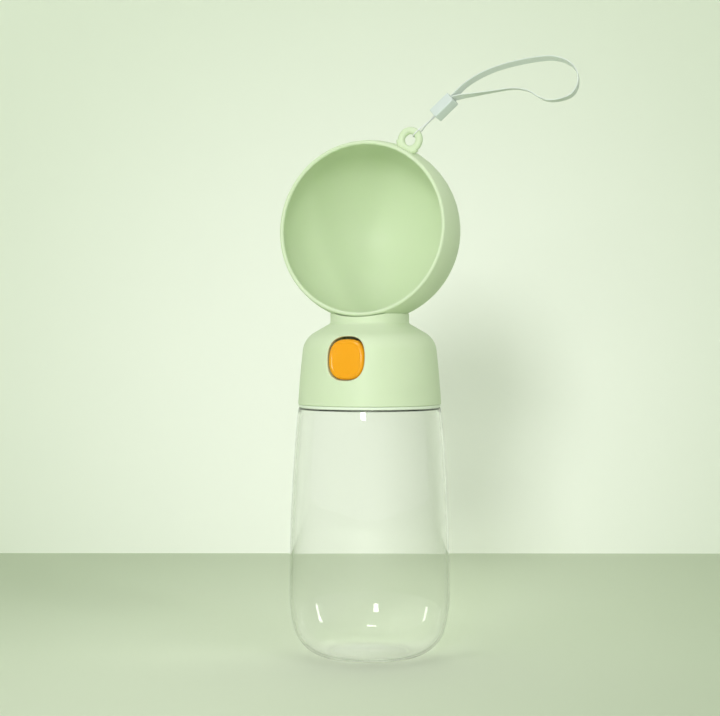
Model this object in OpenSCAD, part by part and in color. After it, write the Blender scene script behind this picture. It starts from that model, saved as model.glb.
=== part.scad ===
// Portable pet water bottle: a clear bottle, a screw-on head with a push-button valve,
// a fixed drinking bowl on the head, and a wrist strap on the bowl's eye ring.
// Origin: centre of the bottle's base. +Z up, the bowl's mouth and the button face -Y.

/* [Bottle] */
// Largest radius of the bottle's belly
belly_r = 32.95; // [31:0.05:35]
// Height of the belly's widest point
belly_z = 25; // [22:1:28]
// Radius of the long upward curve of the side
side_arc_r = 824; // [780:2:1000]
// Radius of the curve under the belly
belly_arc_r = 50; // [46:1:90]
// Radius of the rounded lower corner
base_corner_r = 15; // [13:0.5:17]
// Height of the shoulder that the head sits over
shoulder_z = 101.8; // [96:0.2:110]
// Radius of the shoulder's rounded edge
shoulder_edge_r = 1.0; // [0.6:0.1:1.4]
// Wall of the bottle
bottle_wall = 1.5; // [1.2:0.1:1.9]
// How far the neck stands inside the head's lower edge
neck_inset = 7.2; // [6.8:0.1:7.8]
// Wall of the neck
neck_wall = 2.0; // [1.8:0.1:2.4]
// Height of the neck above the shoulder
neck_h = 8.6; // [7.6:0.2:9]

/* [Head shell] */
// Outside radius at the lower edge
head_r = 29.4; // [28.8:0.1:30.4]
// Wall of the moulded shell
shell_wall = 2.0; // [1.7:0.1:2.2]
// Radius of the slight bow of the side, seen from the side
head_bow_r = 407; // [380:1:480]
// Depth below the lower edge at which the bowed side would stand upright
head_bow_drop = 23.5; // [22:0.5:25]
// Height at which the side turns into the shoulder
shoulder_start = 22.6; // [22:0.1:23.6]
// Radius of the rounded shoulder
head_shoulder_r = 9.5; // [9:0.1:10]
// Slope of the shoulder's upper cone
cone_angle = 30; // [28:1:32]
// Outside radius of the collar under the bowl
collar_r = 16.15; // [15.6:0.05:16.8]
// Number of drive ribs inside the shell
rib_count = 6; // [4:1:8]
// Width of a drive rib
rib_w = 1.6; // [1.2:0.1:2]

/* [Threaded cap] */
// Wall of the cap's skirt
cap_wall = 2.0; // [1.6:0.1:2.2]
// Thickness of the cap's top
cap_top = 1.6; // [1.4:0.1:1.8]
// Room for the thread between the neck and the cap
thread_room = 0.8; // [0.6:0.1:1]
// Height of the cap's outer flange
cap_flange_h = 1.4; // [1:0.1:2]
// Height of the snap bead on the flange
bead_h = 0.3; // [0.2:0.05:0.4]
// Thickness of the mouth gasket
gasket_t = 1.2; // [1:0.1:1.4]
// Radial width of the mouth gasket
gasket_w = 3.0; // [2.4:0.1:3.4]

/* [Seam ring] */
// Thickness of the pale ring between head and bottle
seam_t = 0.7; // [0.5:0.05:0.9]
// Open gap between the ring and the shoulder
seam_gap = 0.5; // [0.4:0.05:0.7]
// Step of the ring inside the head's edge
seam_step = 0.3; // [0.2:0.05:0.6]

/* [Bowl] */
// Outside radius of the ball that the bowl is cut from
ball_r = 37.2; // [36.6:0.1:38.2]
// Height of the ball's centre
ball_z = 174.4; // [174:0.1:174.8]
// Wall of the bowl
bowl_wall = 1.7; // [1.5:0.1:1.9]
// Distance from the ball's centre to the mouth plane
mouth_offset = 9.5; // [8:0.5:11]
// Upward tilt of the mouth
mouth_tilt = 5; // [4:0.1:12]
// Radius of the water hole in the bottom of the bowl
outlet_r = 3.5; // [3:0.1:3.8]
// Outside radius of the threaded foot under the bowl
foot_r = 6.6; // [6.4:0.1:6.8]
// Thickness of the gasket's pocket floor under the bowl
pad_t = 1.6; // [1.4:0.1:1.8]
// Thickness of the nut on the foot
nut_t = 2.7; // [2.4:0.1:2.9]
// Width of the nut across its flats
nut_af = 17.4; // [16.8:0.2:18]

/* [Eye ring] */
// Outside radius of the ring
eye_r = 5.3; // [5:0.1:5.5]
// Radius of the ring's hole
eye_hole_r = 2.3; // [2.2:0.05:2.6]
// Thickness of the ring
eye_t = 2.4; // [2:0.1:2.6]
// Distance of the ring's centre from the mouth's axis
eye_reach = 40.6; // [40.4:0.1:40.8]
// Clockwise angle of the ring from the top
eye_angle = 27.5; // [25:0.5:28]
// Distance of the ring behind the mouth plane
eye_setback = 3.3; // [3:0.1:4]

/* [Button] */
// Width of the button's window
window_w = 15.8; // [15:0.1:16.6]
// Height of the button's window
window_h = 17.6; // [17:0.1:18]
// Height of the window's centre
window_z = 122.6; // [122.4:0.1:123]
// Squareness of the outline, 2 being an ellipse
squareness = 2.6; // [2.3:0.1:3.2]
// Gap between button and window, at the sides and below
button_gap = 0.35; // [0.25:0.05:0.45]
// Gap above the button
button_top_gap = 1.1; // [0.8:0.1:1.3]
// Radius of the button's domed face
dome_r = 30; // [28:0.5:34]
// Depth of the face's middle below the shell
button_recess = 0.6; // [0.4:0.1:0.9]
// Radius of the button's rounded edge
button_edge_r = 1.3; // [1:0.1:1.5]
// Wall of the button
button_wall = 1.6; // [1.3:0.1:1.8]
// Reach of the wings that keep the button in its window
wing_reach = 1.8; // [1.4:0.1:2]
// Travel of the button
button_travel = 3.0; // [2.4:0.1:3]

/* [Valve] */
// Outside radius of the valve's barrel
barrel_r = 5.2; // [5:0.1:5.4]
// Front end of the barrel, as a distance before the head's axis
barrel_front = 9; // [8.4:0.2:9.4]
// Rear end of the barrel behind the axis
barrel_rear = 15; // [14.6:0.2:15.6]
// Radius of the push rod
rod_r = 1.5; // [1.3:0.1:1.6]
// Running clearance around the rod
rod_gap = 0.06; // [0.04:0.01:0.1]
// Radius of the chamber that feeds the bowl
outlet_chamber_r = 3.5; // [3.3:0.1:3.6]
// Radius of the chamber that the bottle feeds
inlet_chamber_r = 3.9; // [3.8:0.05:4]
// Radius of the valve seat's hole
seat_hole_r = 2.4; // [2.1:0.1:2.6]
// Rear face of the valve seat, behind the axis
seat_y = 5.4; // [5.2:0.1:5.6]
// Thickness of the valve seat
seat_t = 1.4; // [1.2:0.1:1.6]
// Radius of the silicone plug
plug_r = 3.4; // [3.2:0.05:3.5]
// Thickness of the silicone plug
plug_t = 2.2; // [1.8:0.1:2.4]
// Wire radius of the return spring
wire_r = 0.22; // [0.18:0.01:0.25]
// Mean radius of the return spring
spring_r = 2.6; // [2.4:0.05:2.8]
// Turns of the return spring
spring_turns = 4; // [3:1:5]
// Outside radius of the inlet and outlet stubs
stub_r = 3.4; // [3.2:0.1:3.6]
// Bore of the stubs
stub_bore_r = 2.0; // [1.8:0.1:2.2]
// Distance of the inlet stub behind the axis
inlet_y = 9.5; // [9.3:0.1:9.7]

/* [Strap] */
// Width of the wrist ribbon
ribbon_w = 3.6; // [3.4:0.1:3.6]
// Thickness of the wrist ribbon
ribbon_t = 0.7; // [0.6:0.05:0.75]
// Side of the square slider
slider_side = 4.9; // [4.4:0.1:5.4]
// Length of the slider
slider_l = 10; // [9.6:0.1:10.4]
// Distance from the ring's centre to the slider
slider_start = 14; // [13.6:0.1:14.4]
// Radius of the thread
thread_r = 0.3; // [0.25:0.01:0.32]

/* [Hidden] */
round_fn = 96;
arc_steps = 12;

// Clearances
seat_gap = 0.2;        // bowl in its seat on the collar
fit_gap = 0.15;        // pieces that are pushed together
screw_gap = 0.05;      // screws in their holes
slot_gap = 0.1;        // ribbon in the slider
stack_gap = 0.1;        // faces of the valve stack that don't press together
cut = 0.5;             // overrun of a cut past a face

// Heights of the stack between bottle and head
neck_top = shoulder_z + neck_h;
seam_z = shoulder_z + seam_gap;
head_z = seam_z + seam_t;
cap_ceiling = neck_top + gasket_t;
cap_deck = cap_ceiling + cap_top;
neck_r = head_r - neck_inset;
neck_bore_r = neck_r - neck_wall;
cap_in_r = neck_r + thread_room;
cap_out_r = cap_in_r + cap_wall;

// Bottle profile: three arcs that meet at a common tangent
side_c = [belly_r - side_arc_r, belly_z];
belly_c = [belly_r - belly_arc_r, belly_z];
corner_lean = asin((base_corner_r - belly_c.y) / (belly_arc_r - base_corner_r));
corner_c = belly_c + (belly_arc_r - base_corner_r) * [cos(corner_lean), sin(corner_lean)];
side_top = asin((shoulder_z - shoulder_edge_r - side_c.y) / (side_arc_r - shoulder_edge_r));
inside_top = asin((shoulder_z - bottle_wall - side_c.y) / (side_arc_r - bottle_wall));
edge_c = side_c + (side_arc_r - shoulder_edge_r) * [cos(side_top), sin(side_top)];
edge_step = 15;         // angle between the points of the shoulder's edge

// Head profile: bowed side, round shoulder, cone and collar
bow_c = [head_r - head_bow_r * cos(bow_a(0)), head_z - head_bow_drop];
shoulder_a = bow_a(shoulder_start);
shoulder_c = bow_c + (head_bow_r - head_shoulder_r) * [cos(shoulder_a), sin(shoulder_a)];
cone_a = 90 - cone_angle;
collar_in_r = collar_r - shell_wall;

// Bowl seat on the collar
seat_r = ball_r + seat_gap;
nut_r = nut_af / 2 / cos(30);
pad_r = nut_r + 0.7;
bowl_gasket_w = 2.9;
bowl_gasket_t = 1.4;
gasket_in_r = foot_r + fit_gap * 2;
gasket_out_r = gasket_in_r + bowl_gasket_w;
pocket_r = gasket_out_r + fit_gap;
foot_hole_r = foot_r + seat_gap;
key_w = 1.6;
key_h = 1.0;
pocket_z = ball_low(foot_r) - seat_gap - bowl_gasket_t;
pad_z = pocket_z - pad_t;
seat_web_t = 2.2;       // web under the ball's seat

// Valve stack
valve_z = window_z - 0.3;
gland_l = 2.8;          // length of the barrel's front wall, before the rod's seal
ring_seal_y = -barrel_front + gland_l;
ring_seal_t = 1.6;
ring_seal_r = rod_r + 1.3;
spigot_l = 1.8;
plug_flange_t = 1.8;
collar_t = 0.4;
rod_collar_r = spring_r + wire_r + 0.2;
spring_front = seat_y + plug_t + collar_t;
spring_rear = barrel_rear - spigot_l;
rod_pilot = 1.2;        // end of the rod inside the spring
stub_l = 2;
stub_top = valve_z + barrel_r + stub_l;
foot_bottom = stub_top + stack_gap;
sleeve_in_r = stub_r + screw_gap;
sleeve_out_r = sleeve_in_r + 1.4;
sleeve_bore_r = sleeve_out_r + stack_gap;
sleeve_l = 4.2;
tab_x = 8.5;
tab_y = 1.5;
tab_t = 1.8;
tab_z = valve_z - barrel_r - stack_gap;
tab_boss_r = 3;
screw_r = 1.1;
screw_head_r = 2.4;
screw_head_t = 1.4;
screw_depth = cap_top / 2;
recess_w = 0.6;         // arms of the cross recess
inlet_seal_r = stub_r + 1.2;
inlet_seal_t = 2.4;
inlet_boss_wall = 1.4;

// Button
button_w = window_w - 2 * button_gap;
button_h = window_h - button_gap - button_top_gap;
button_z = window_z - window_h / 2 + button_gap + button_h / 2;
shell_at_button = outer_r(window_z);
dome_z = 118;           // height at which the domed face stands furthest out
dome_c = [dome_r - shell_at_button + button_recess, dome_z];
button_depth = 6.3;
skirt_y = button_depth - shell_at_button;
wing_t = 1.4;
wing_h = 9;
wing_root = 0.8;        // part of the wing inside the button's wall
boss_r = 3.0;
boss_stop = 1;          // what is left between boss and barrel at full travel
boss_rear = -barrel_front - button_travel - boss_stop;
socket_l = 4;

// Mouth frame: x along X, y up in the mouth plane, z out of the mouth
mouth_turn = 90 - mouth_tilt;
eye_level = mouth_offset - eye_setback;
eye_at = [eye_reach * sin(eye_angle), eye_reach * cos(eye_angle), eye_level];
lip_r = bowl_wall / 2;
lip_step = 22.5;        // angle between the points of the lip
mouth_r = sqrt(ball_r * ball_r - mouth_offset * mouth_offset);
lip_gap = 0.45;
eye_round = 0.45 * eye_t;

// Strap, in the plane of the eye ring: x along X, y up, both from the ring's centre
slider_angle = 42.5;
slider_dir = [cos(slider_angle), sin(slider_angle), 0];
slider_end = slider_start + slider_l;
slot_roll = 20;
slot_w = ribbon_w + 2 * slot_gap;
slot_t = 2 * ribbon_t + 4 * slot_gap;
layer_shift = ribbon_t / 2 + slot_gap;
ribbon_in = 5;          // length of ribbon inside the slider
ribbon_out = 0.4;       // straight length outside it
thread_in = 3.5;
thread_spread = 0.8;    // half the distance between the thread's ends

// Route of the ribbon from the slider's end round the loop and back: x, y and roll
ribbon_route = [
    [22.4, 21, 16], [27.5, 24.2, 18], [32.8, 26.5, 18], [38.1, 28.1, 19], [43.3, 29.2, 20],
    [48.5, 30, 21], [53.6, 30.5, 21], [58.6, 30.5, 20], [63.4, 29.2, 17], [67, 26.9, 14],
    [68.9, 23.9, 10], [69.3, 20.6, 6], [68.5, 17.6, -2], [66.6, 15.3, -5], [63.4, 14, -5],
    [60, 13.5, -4], [57, 13.7, -3], [53.4, 15.2, -2], [50.1, 17.4, 0], [46.4, 18.6, 1],
    [42.2, 19, 2], [35.4, 18.4, 0], [27.6, 17.5, -8]
];

// Route of the thread from the slider through the ring and back: along the slider, across
thread_route = [
    [12, 0.7], [10, 0.9], [8, 1.4], [6, 1.8], [4.6, 1.9], [3.3, 1.85], [2.1, 1.5],
    [1.7, 0.5], [1.7, -0.5], [2.1, -1.5], [3.3, -1.85], [4.6, -1.9], [6, -1.8],
    [8, -1.4], [10, -0.9], [12, -0.7]
];

// ---- Functions ----

// Lean of the head's bowed side at a height above its lower edge
function bow_a(h) = asin((h + head_bow_drop) / head_bow_r);

// Points of an arc about a centre, from one angle to another
function arc(c, r, a0, a1, n = arc_steps) =
    [for (i = [0 : n]) let (a = a0 + (a1 - a0) * i / n) c + r * [cos(a), sin(a)]];

function reversed(list) = [for (i = [len(list) - 1 : -1 : 0]) list[i]];

// Height of the ball's lower surface at a distance from the axis
function ball_low(r, ball = ball_r) = ball_z - sqrt(ball * ball - r * r);

// Outside radius of the shell's bowed side at a height
function outer_r(z) = bow_c.x + sqrt(pow(head_bow_r, 2) - pow(z - bow_c.y, 2));

// Side of the bottle from base to shoulder, set in by the wall
function bottle_side(t, top) = concat(
    arc(corner_c, base_corner_r - t, -90, corner_lean),
    arc(belly_c, belly_arc_r - t, corner_lean * 0.7, 0, 4),
    arc(side_c, side_arc_r - t, top * 0.05, top, 16)
);

// Side of the head from the lower edge to the cone, set in by the wall
function head_side(t) = concat(
    arc(bow_c, head_bow_r - t, bow_a(0), shoulder_a, 8),
    arc(shoulder_c, head_shoulder_r - t, shoulder_a + 4, cone_a)
);

// Height at which the cone, set in by the wall, meets a radius
function cone_z(t, r) = shoulder_c.y + (head_shoulder_r - t) * sin(cone_a)
    + (shoulder_c.x + (head_shoulder_r - t) * cos(cone_a) - r) * tan(cone_angle);

// Squircle outline
function squircle(w, h, n = 48) = [
    for (i = [0 : n - 1])
        let (a = 360 * i / n, e = 2 / squareness)
        [w / 2 * sign(cos(a)) * pow(abs(cos(a)), e), h / 2 * sign(sin(a)) * pow(abs(sin(a)), e)]
];

// Depth of the button's domed face at a place on it
function dome_y(p) = dome_c.x
    - sqrt(dome_r * dome_r - p.x * p.x - pow(p.y + button_z - dome_c.y, 2));

// Catmull-Rom point between b and c
function spline(a, b, c, d, t) = 0.5 * (2 * b + (c - a) * t
    + (2 * a - 5 * b + 4 * c - d) * t * t + (3 * b - a - 3 * c + d) * t * t * t);

// Smooth path through a route
function smooth(p, k) = concat(
    [for (i = [0 : len(p) - 2], j = [0 : k - 1])
        spline(p[max(i - 1, 0)], p[i], p[i + 1], p[min(i + 2, len(p) - 1)], j / k)],
    [p[len(p) - 1]]
);

function unit(v) = v / norm(v);
function along(p, i) = unit(p[min(i + 1, len(p) - 1)] - p[max(i - 1, 0)]);

// Faces of a closed tube of rings: two ends, and two triangles for each cell between rings
function tube_faces(rings, sides) = concat(
    [[for (j = [0 : sides - 1]) j]],
    [for (i = [0 : rings - 2], j = [0 : sides - 1], upper = [0, 1])
        let (a = i * sides + j, b = i * sides + (j + 1) % sides)
        upper == 0 ? [a, a + sides, b + sides] : [a, b + sides, b]],
    [[for (j = [sides - 1 : -1 : 0]) (rings - 1) * sides + j]]
);

// ---- Helpers ----

module turned(points) {
    rotate_extrude($fn = round_fn) polygon(points);
}

module tube(r_out, r_in, h) {
    difference() {
        cylinder(r = r_out, h = h, $fn = round_fn);
        translate([0, 0, -cut]) cylinder(r = r_in, h = h + 2 * cut, $fn = round_fn);
    }
}

// Things turned about the valve's axis, with z running backwards along +Y
module on_valve_axis(y = 0) {
    translate([0, y, valve_z]) rotate([-90, 0, 0]) children();
}

module in_mouth_frame() {
    translate([0, 0, ball_z]) rotate([mouth_turn, 0, 0]) children();
}

module in_strap_frame() {
    in_mouth_frame() translate(eye_at) children();
}

module at_screws() {
    for (side = [-1, 1]) translate([side * tab_x, tab_y, 0]) children();
}

// ---- Bottle ----

// Blown clear bottle with a wide neck, which carries the screw thread
module bottle() {
    inside = bottle_side(bottle_wall, inside_top);
    color([0.86, 0.94, 0.84, 0.35]) turned(concat(
        [[0, 0]],
        bottle_side(0, side_top),
        arc(edge_c, shoulder_edge_r, side_top + edge_step, 90, 6),
        [[neck_r, shoulder_z], [neck_r, neck_top], [neck_bore_r, neck_top]],
        [[neck_bore_r, shoulder_z - bottle_wall]],
        reversed(inside),
        [[0, bottle_wall]]
    ));
}

module seam_ring() {
    color([0.93, 0.96, 0.9]) translate([0, 0, seam_z])
        tube(head_r - seam_step, cap_in_r, seam_t);
}

module mouth_gasket() {
    color([0.9, 0.92, 0.9]) translate([0, 0, neck_top])
        tube(cap_in_r - fit_gap, cap_in_r - fit_gap - gasket_w, gasket_t);
}

// ---- Head ----

// Threaded inner cap: skirt, flange with a snap bead, top with valve bosses
module inner_cap() {
    flange_r = head_r - shell_wall - fit_gap;
    bead_z = head_z + cap_flange_h / 2;
    color([0.93, 0.94, 0.92]) difference() {
        union() {
            turned([
                [0, cap_ceiling], [cap_in_r, cap_ceiling], [cap_in_r, head_z],
                [flange_r, head_z], [flange_r, bead_z - 2 * bead_h],
                [flange_r + bead_h, bead_z], [flange_r, bead_z + 2 * bead_h],
                [flange_r, head_z + cap_flange_h], [cap_out_r, head_z + cap_flange_h],
                [cap_out_r, cap_deck], [0, cap_deck]
            ]);
            at_screws() translate([0, 0, cap_deck - cut])
                cylinder(r = tab_boss_r, h = tab_z - cap_deck + cut, $fn = round_fn);
            translate([0, inlet_y, cap_deck - cut])
                cylinder(r = inlet_seal_r + inlet_boss_wall, h = inlet_seal_t + cut, $fn = round_fn);
        }
        at_screws() translate([0, 0, cap_deck - screw_depth])
            cylinder(r = screw_r + screw_gap, h = tab_z, $fn = round_fn);
        translate([0, inlet_y, cap_ceiling - cut])
            cylinder(r = stub_r + screw_gap, h = cap_top + 2 * cut, $fn = round_fn);
        translate([0, inlet_y, cap_deck])
            cylinder(r = inlet_seal_r + screw_gap, h = inlet_seal_t + cut, $fn = round_fn);
        drive_ribs(rib_w + 2 * fit_gap, head_z - cut, head_z + cap_flange_h + cut);
    }
}

// Ribs that turn the cap with the shell
module drive_ribs(w, z0, z1) {
    for (i = [0 : rib_count - 1]) rotate(360 / rib_count * (i + 0.5))
        translate([cap_out_r + fit_gap, -w / 2, z0])
            cube([head_r - shell_wall - cap_out_r + cut, w, z1 - z0]);
}

// Moulded shell: bowed side, shoulder, collar with the bowl's seat, button window
module head_shell() {
    bead_z = head_z + cap_flange_h / 2;
    flange_r = head_r - shell_wall;
    side_in = head_side(shell_wall);
    color([0.79, 0.88, 0.71]) difference() {
        union() {
            turned(concat(
                [[flange_r, head_z]],
                head_side(0),
                [[collar_r, cone_z(0, collar_r)]],
                [for (i = [0 : 8]) let (r = collar_r + (pocket_r - collar_r) * i / 8)
                    [r, ball_low(r, seat_r)]],
                [[pocket_r, pocket_z], [foot_hole_r, pocket_z]],
                [[foot_hole_r, pad_z], [pad_r, pad_z]],
                [[pad_r, ball_low(pad_r, seat_r) - seat_web_t]],
                [[collar_in_r, ball_low(collar_in_r, seat_r) - seat_web_t]],
                [[collar_in_r, cone_z(shell_wall, collar_in_r)]],
                reversed([for (i = [1 : len(side_in) - 1]) side_in[i]]),
                [[flange_r, head_z + cap_flange_h], [flange_r, bead_z + 2 * bead_h]],
                [[flange_r + bead_h, bead_z], [flange_r, bead_z - 2 * bead_h]]
            ));
            intersection() {
                drive_ribs(rib_w, head_z + fit_gap, cap_deck);
                cylinder(r = outer_r(cap_deck) - shell_wall / 2, h = ball_z, $fn = round_fn);
            }
        }
        translate([0, 0, window_z]) rotate([90, 0, 0])
            linear_extrude(height = head_r + cut) polygon(squircle(window_w, window_h));
        in_mouth_frame() translate([0, 0, mouth_offset - bowl_wall])
            cylinder(r = mouth_r + lip_gap, h = ball_r, $fn = round_fn);
        foot_key(key_w + 2 * fit_gap, key_h + fit_gap, pad_z - cut, pocket_z + cut);
    }
}

// Key that keeps the bowl facing the button, and its notch
module foot_key(w, h, z0, z1) {
    translate([foot_r - cut, -w / 2, z0]) cube([cut + h, w, z1 - z0]);
}

// ---- Valve ----

// Barrel with two chambers, seat, rod gland, inlet and outlet stubs and screw tabs
module valve_body() {
    chamber_y = ring_seal_y + ring_seal_t;
    color([0.9, 0.91, 0.89]) difference() {
        union() {
            on_valve_axis(-barrel_front)
                cylinder(r = barrel_r, h = barrel_front + barrel_rear, $fn = round_fn);
            translate([0, 0, valve_z]) cylinder(r = stub_r, h = stub_top - valve_z, $fn = round_fn);
            translate([0, inlet_y, cap_ceiling])
                cylinder(r = stub_r, h = valve_z - cap_ceiling, $fn = round_fn);
            at_screws() translate([0, 0, tab_z]) cylinder(r = tab_boss_r, h = tab_t, $fn = round_fn);
            translate([-tab_x, tab_y - tab_boss_r, tab_z]) cube([2 * tab_x, 2 * tab_boss_r, tab_t]);
        }
        on_valve_axis(-barrel_front - cut)
            cylinder(r = rod_r + rod_gap, h = barrel_front + seat_y, $fn = round_fn);
        on_valve_axis(ring_seal_y)
            cylinder(r = ring_seal_r, h = ring_seal_t + cut, $fn = round_fn);
        on_valve_axis(chamber_y)
            cylinder(r = outlet_chamber_r, h = seat_y - seat_t - chamber_y, $fn = round_fn);
        on_valve_axis(0) cylinder(r = seat_hole_r, h = seat_y + cut, $fn = round_fn);
        on_valve_axis(seat_y)
            cylinder(r = inlet_chamber_r, h = barrel_rear - seat_y + cut, $fn = round_fn);
        translate([0, 0, valve_z]) cylinder(r = stub_bore_r, h = stub_top, $fn = round_fn);
        translate([0, inlet_y, cap_ceiling - cut])
            cylinder(r = stub_bore_r, h = valve_z - cap_ceiling + cut, $fn = round_fn);
        at_screws() translate([0, 0, tab_z - cut])
            cylinder(r = screw_r + screw_gap, h = tab_t + 2 * cut, $fn = round_fn);
    }
}

module valve_end_plug() {
    color([0.88, 0.9, 0.88]) {
        on_valve_axis(barrel_rear - spigot_l)
            cylinder(r = inlet_chamber_r - screw_gap, h = spigot_l + cut, $fn = round_fn);
        on_valve_axis(barrel_rear) cylinder(r = barrel_r, h = plug_flange_t, $fn = round_fn);
    }
}

// Silicone sleeve between the inlet stub and its boss on the cap
module inlet_seal() {
    color([0.86, 0.88, 0.86]) translate([0, inlet_y, cap_deck])
        tube(inlet_seal_r, stub_r + screw_gap, inlet_seal_t - screw_gap);
}

// Two pan-head screws that hold the valve's tabs
module valve_screws() {
    color([0.75, 0.76, 0.78]) at_screws() {
        translate([0, 0, cap_deck - screw_depth + screw_gap])
            cylinder(r = screw_r, h = tab_z + tab_t - cap_deck + screw_depth, $fn = round_fn);
        translate([0, 0, tab_z + tab_t]) difference() {
            cylinder(r = screw_head_r, h = screw_head_t, $fn = round_fn);
            for (turn = [0, 90]) rotate(turn)
                translate([-screw_head_r / 2, -recess_w / 2, screw_head_t / 2])
                    cube([screw_head_r, recess_w, screw_head_t]);
        }
    }
}

// Steel rod from the button to the plug, with a collar that carries the spring
module push_rod() {
    front = boss_rear - socket_l;
    rear = spring_front + rod_pilot;
    color([0.78, 0.79, 0.8]) {
        on_valve_axis(front) cylinder(r = rod_r, h = rear - front, $fn = round_fn);
        on_valve_axis(seat_y + plug_t) cylinder(r = rod_collar_r, h = collar_t, $fn = round_fn);
    }
}

module rod_seal() {
    color([0.25, 0.26, 0.25]) on_valve_axis(ring_seal_y)
        tube(ring_seal_r - screw_gap, rod_r + rod_gap, ring_seal_t);
}

module valve_plug() {
    color([0.85, 0.87, 0.85]) on_valve_axis(seat_y) tube(plug_r, rod_r + screw_gap, plug_t);
}

// Coil that pushes the plug against its seat and the button out
module return_spring() {
    steps = 12 * spring_turns;
    length = spring_rear - spring_front - 2 * wire_r - 2 * screw_gap;
    rings = [for (i = [0 : steps])
        let (a = 30 * i, z = wire_r + screw_gap + length * i / steps)
        for (j = [0 : 5]) let (b = 60 * j, r = spring_r + wire_r * cos(b))
            [r * cos(a), r * sin(a), z - wire_r * sin(b)]];
    color([0.7, 0.71, 0.72]) on_valve_axis(spring_front)
        polyhedron(rings, tube_faces(steps + 1, 6));
}

// ---- Button ----

// Rings of the button's skin, from the open back to the rounded and domed face
function button_rings() = concat(
    [[for (p = squircle(button_w, button_h)) [p.x, skirt_y, p.y]]],
    [for (a = [0 : 18 : 90])
        let (inset = button_edge_r * (1 - cos(a)), back = button_edge_r * (1 - sin(a)))
        [for (p = squircle(button_w - 2 * inset, button_h - 2 * inset))
            [p.x, dome_y(p) + back, p.y]]],
    [for (f = [0.66, 0.33])
        [for (p = squircle(f * (button_w - 2 * button_edge_r), f * (button_h - 2 * button_edge_r)))
            [p.x, dome_y(p), p.y]]]
);

// Domed cap with a rounded edge, hollow from behind, with side wings and a rod socket
module button() {
    rings = button_rings();
    sides = len(rings[0]);
    count = len(rings);
    face_y = dome_y([0, 0]);
    hollow_y = face_y + button_edge_r + button_wall;
    color([0.98, 0.67, 0.14]) difference() {
        union() {
            translate([0, 0, button_z]) difference() {
                polyhedron([for (ring = rings, p = ring) p], tube_faces(count, sides));
                translate([0, skirt_y + cut, 0]) rotate([90, 0, 0])
                    linear_extrude(height = skirt_y + cut - hollow_y)
                        polygon(squircle(button_w - 2 * button_wall, button_h - 2 * button_wall));
            }
            for (side = [0, 1]) mirror([side, 0, 0])
                translate([button_w / 2 - wing_root, skirt_y - wing_t, valve_z - wing_h / 2])
                    cube([wing_reach + wing_root, wing_t, wing_h]);
            on_valve_axis(hollow_y - cut)
                cylinder(r = boss_r, h = boss_rear - hollow_y + cut, $fn = round_fn);
        }
        on_valve_axis(boss_rear - socket_l - seat_gap)
            cylinder(r = rod_r + screw_gap, h = socket_l + cut, $fn = round_fn);
    }
}

// ---- Bowl ----

// Silicone tube that joins the valve's outlet stub to the bowl's foot
module outlet_tube() {
    color([0.88, 0.9, 0.88]) translate([0, 0, foot_bottom - sleeve_l / 2])
        tube(sleeve_out_r, sleeve_in_r, sleeve_l);
}

// Ball shell cut by the mouth plane, with a round lip, an eye ring and a threaded foot
module bowl() {
    mid_r = ball_r - lip_r;
    lip_a = asin(mouth_offset / mid_r);
    lip_c = mid_r * [cos(lip_a), sin(lip_a)];
    ball_in_r = ball_r - bowl_wall;
    color([0.79, 0.88, 0.71]) difference() {
        union() {
            in_mouth_frame() {
                turned(concat(
                    arc([0, 0], ball_r, -90, lip_a, 40),
                    arc(lip_c, lip_r, lip_a + lip_step, lip_a + 180 - lip_step, 7),
                    arc([0, 0], ball_in_r, lip_a, -90, 40)
                ));
                eye_ring();
            }
            difference() {
                translate([0, 0, foot_bottom])
                    cylinder(r = foot_r, h = ball_low(0) - foot_bottom + bowl_wall, $fn = round_fn);
                translate([0, 0, ball_z]) sphere(r = ball_r - bowl_wall / 2, $fn = round_fn);
            }
            foot_key(key_w, key_h, pad_z + fit_gap, pocket_z - fit_gap);
        }
        translate([0, 0, foot_bottom - cut])
            cylinder(r = outlet_r, h = ball_low(0) - foot_bottom + 2 * bowl_wall, $fn = round_fn);
        translate([0, 0, foot_bottom - cut])
            cylinder(r = sleeve_bore_r, h = sleeve_l / 2 + stack_gap + cut, $fn = round_fn);
    }
}

// Ring with rounded edges, on a short neck that runs into the ball
module eye_ring() {
    reach_in = eye_reach - ball_r + bowl_wall / 2;
    neck_w = 1.4 * eye_r;
    h = eye_t / 2 - eye_round;
    r0 = eye_hole_r + eye_round;
    r1 = eye_r - eye_round;
    translate(eye_at) {
        turned(concat(
            arc([r1, h], eye_round, 0, 90, 4),
            arc([r0, h], eye_round, 90, 180, 4),
            arc([r0, -h], eye_round, 180, 270, 4),
            arc([r1, -h], eye_round, 270, 360, 4)
        ));
        rotate(-90 - eye_angle) translate([r0, -neck_w / 2, -eye_t / 2])
            cube([reach_in - r0, neck_w, eye_t]);
    }
}

module bowl_gasket() {
    color([0.86, 0.88, 0.86]) turned([
        [gasket_in_r, pocket_z], [gasket_out_r, pocket_z],
        [gasket_out_r, ball_low(gasket_out_r) - stack_gap],
        [gasket_in_r, ball_low(gasket_in_r) - stack_gap]
    ]);
}

// Hexagonal nut that pulls the bowl down on its seat
module bowl_nut() {
    color([0.92, 0.93, 0.91]) translate([0, 0, pad_z - nut_t]) difference() {
        cylinder(r = nut_r, h = nut_t, $fn = 6);
        translate([0, 0, -cut])
            cylinder(r = foot_r + stack_gap, h = nut_t + 2 * cut, $fn = round_fn);
    }
}

// ---- Strap ----

// Directions across a path in the ring's plane: width turned by roll, and thickness
function width_dir(t, roll) = cos(roll) * [0, 0, 1] + sin(roll) * cross([0, 0, 1], t);
function slot_face() = cross(slider_dir, width_dir(slider_dir, slot_roll));

// Place inside the slider's slot
function slot_point(s, shift) = s * slider_dir + shift * slot_face();

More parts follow.
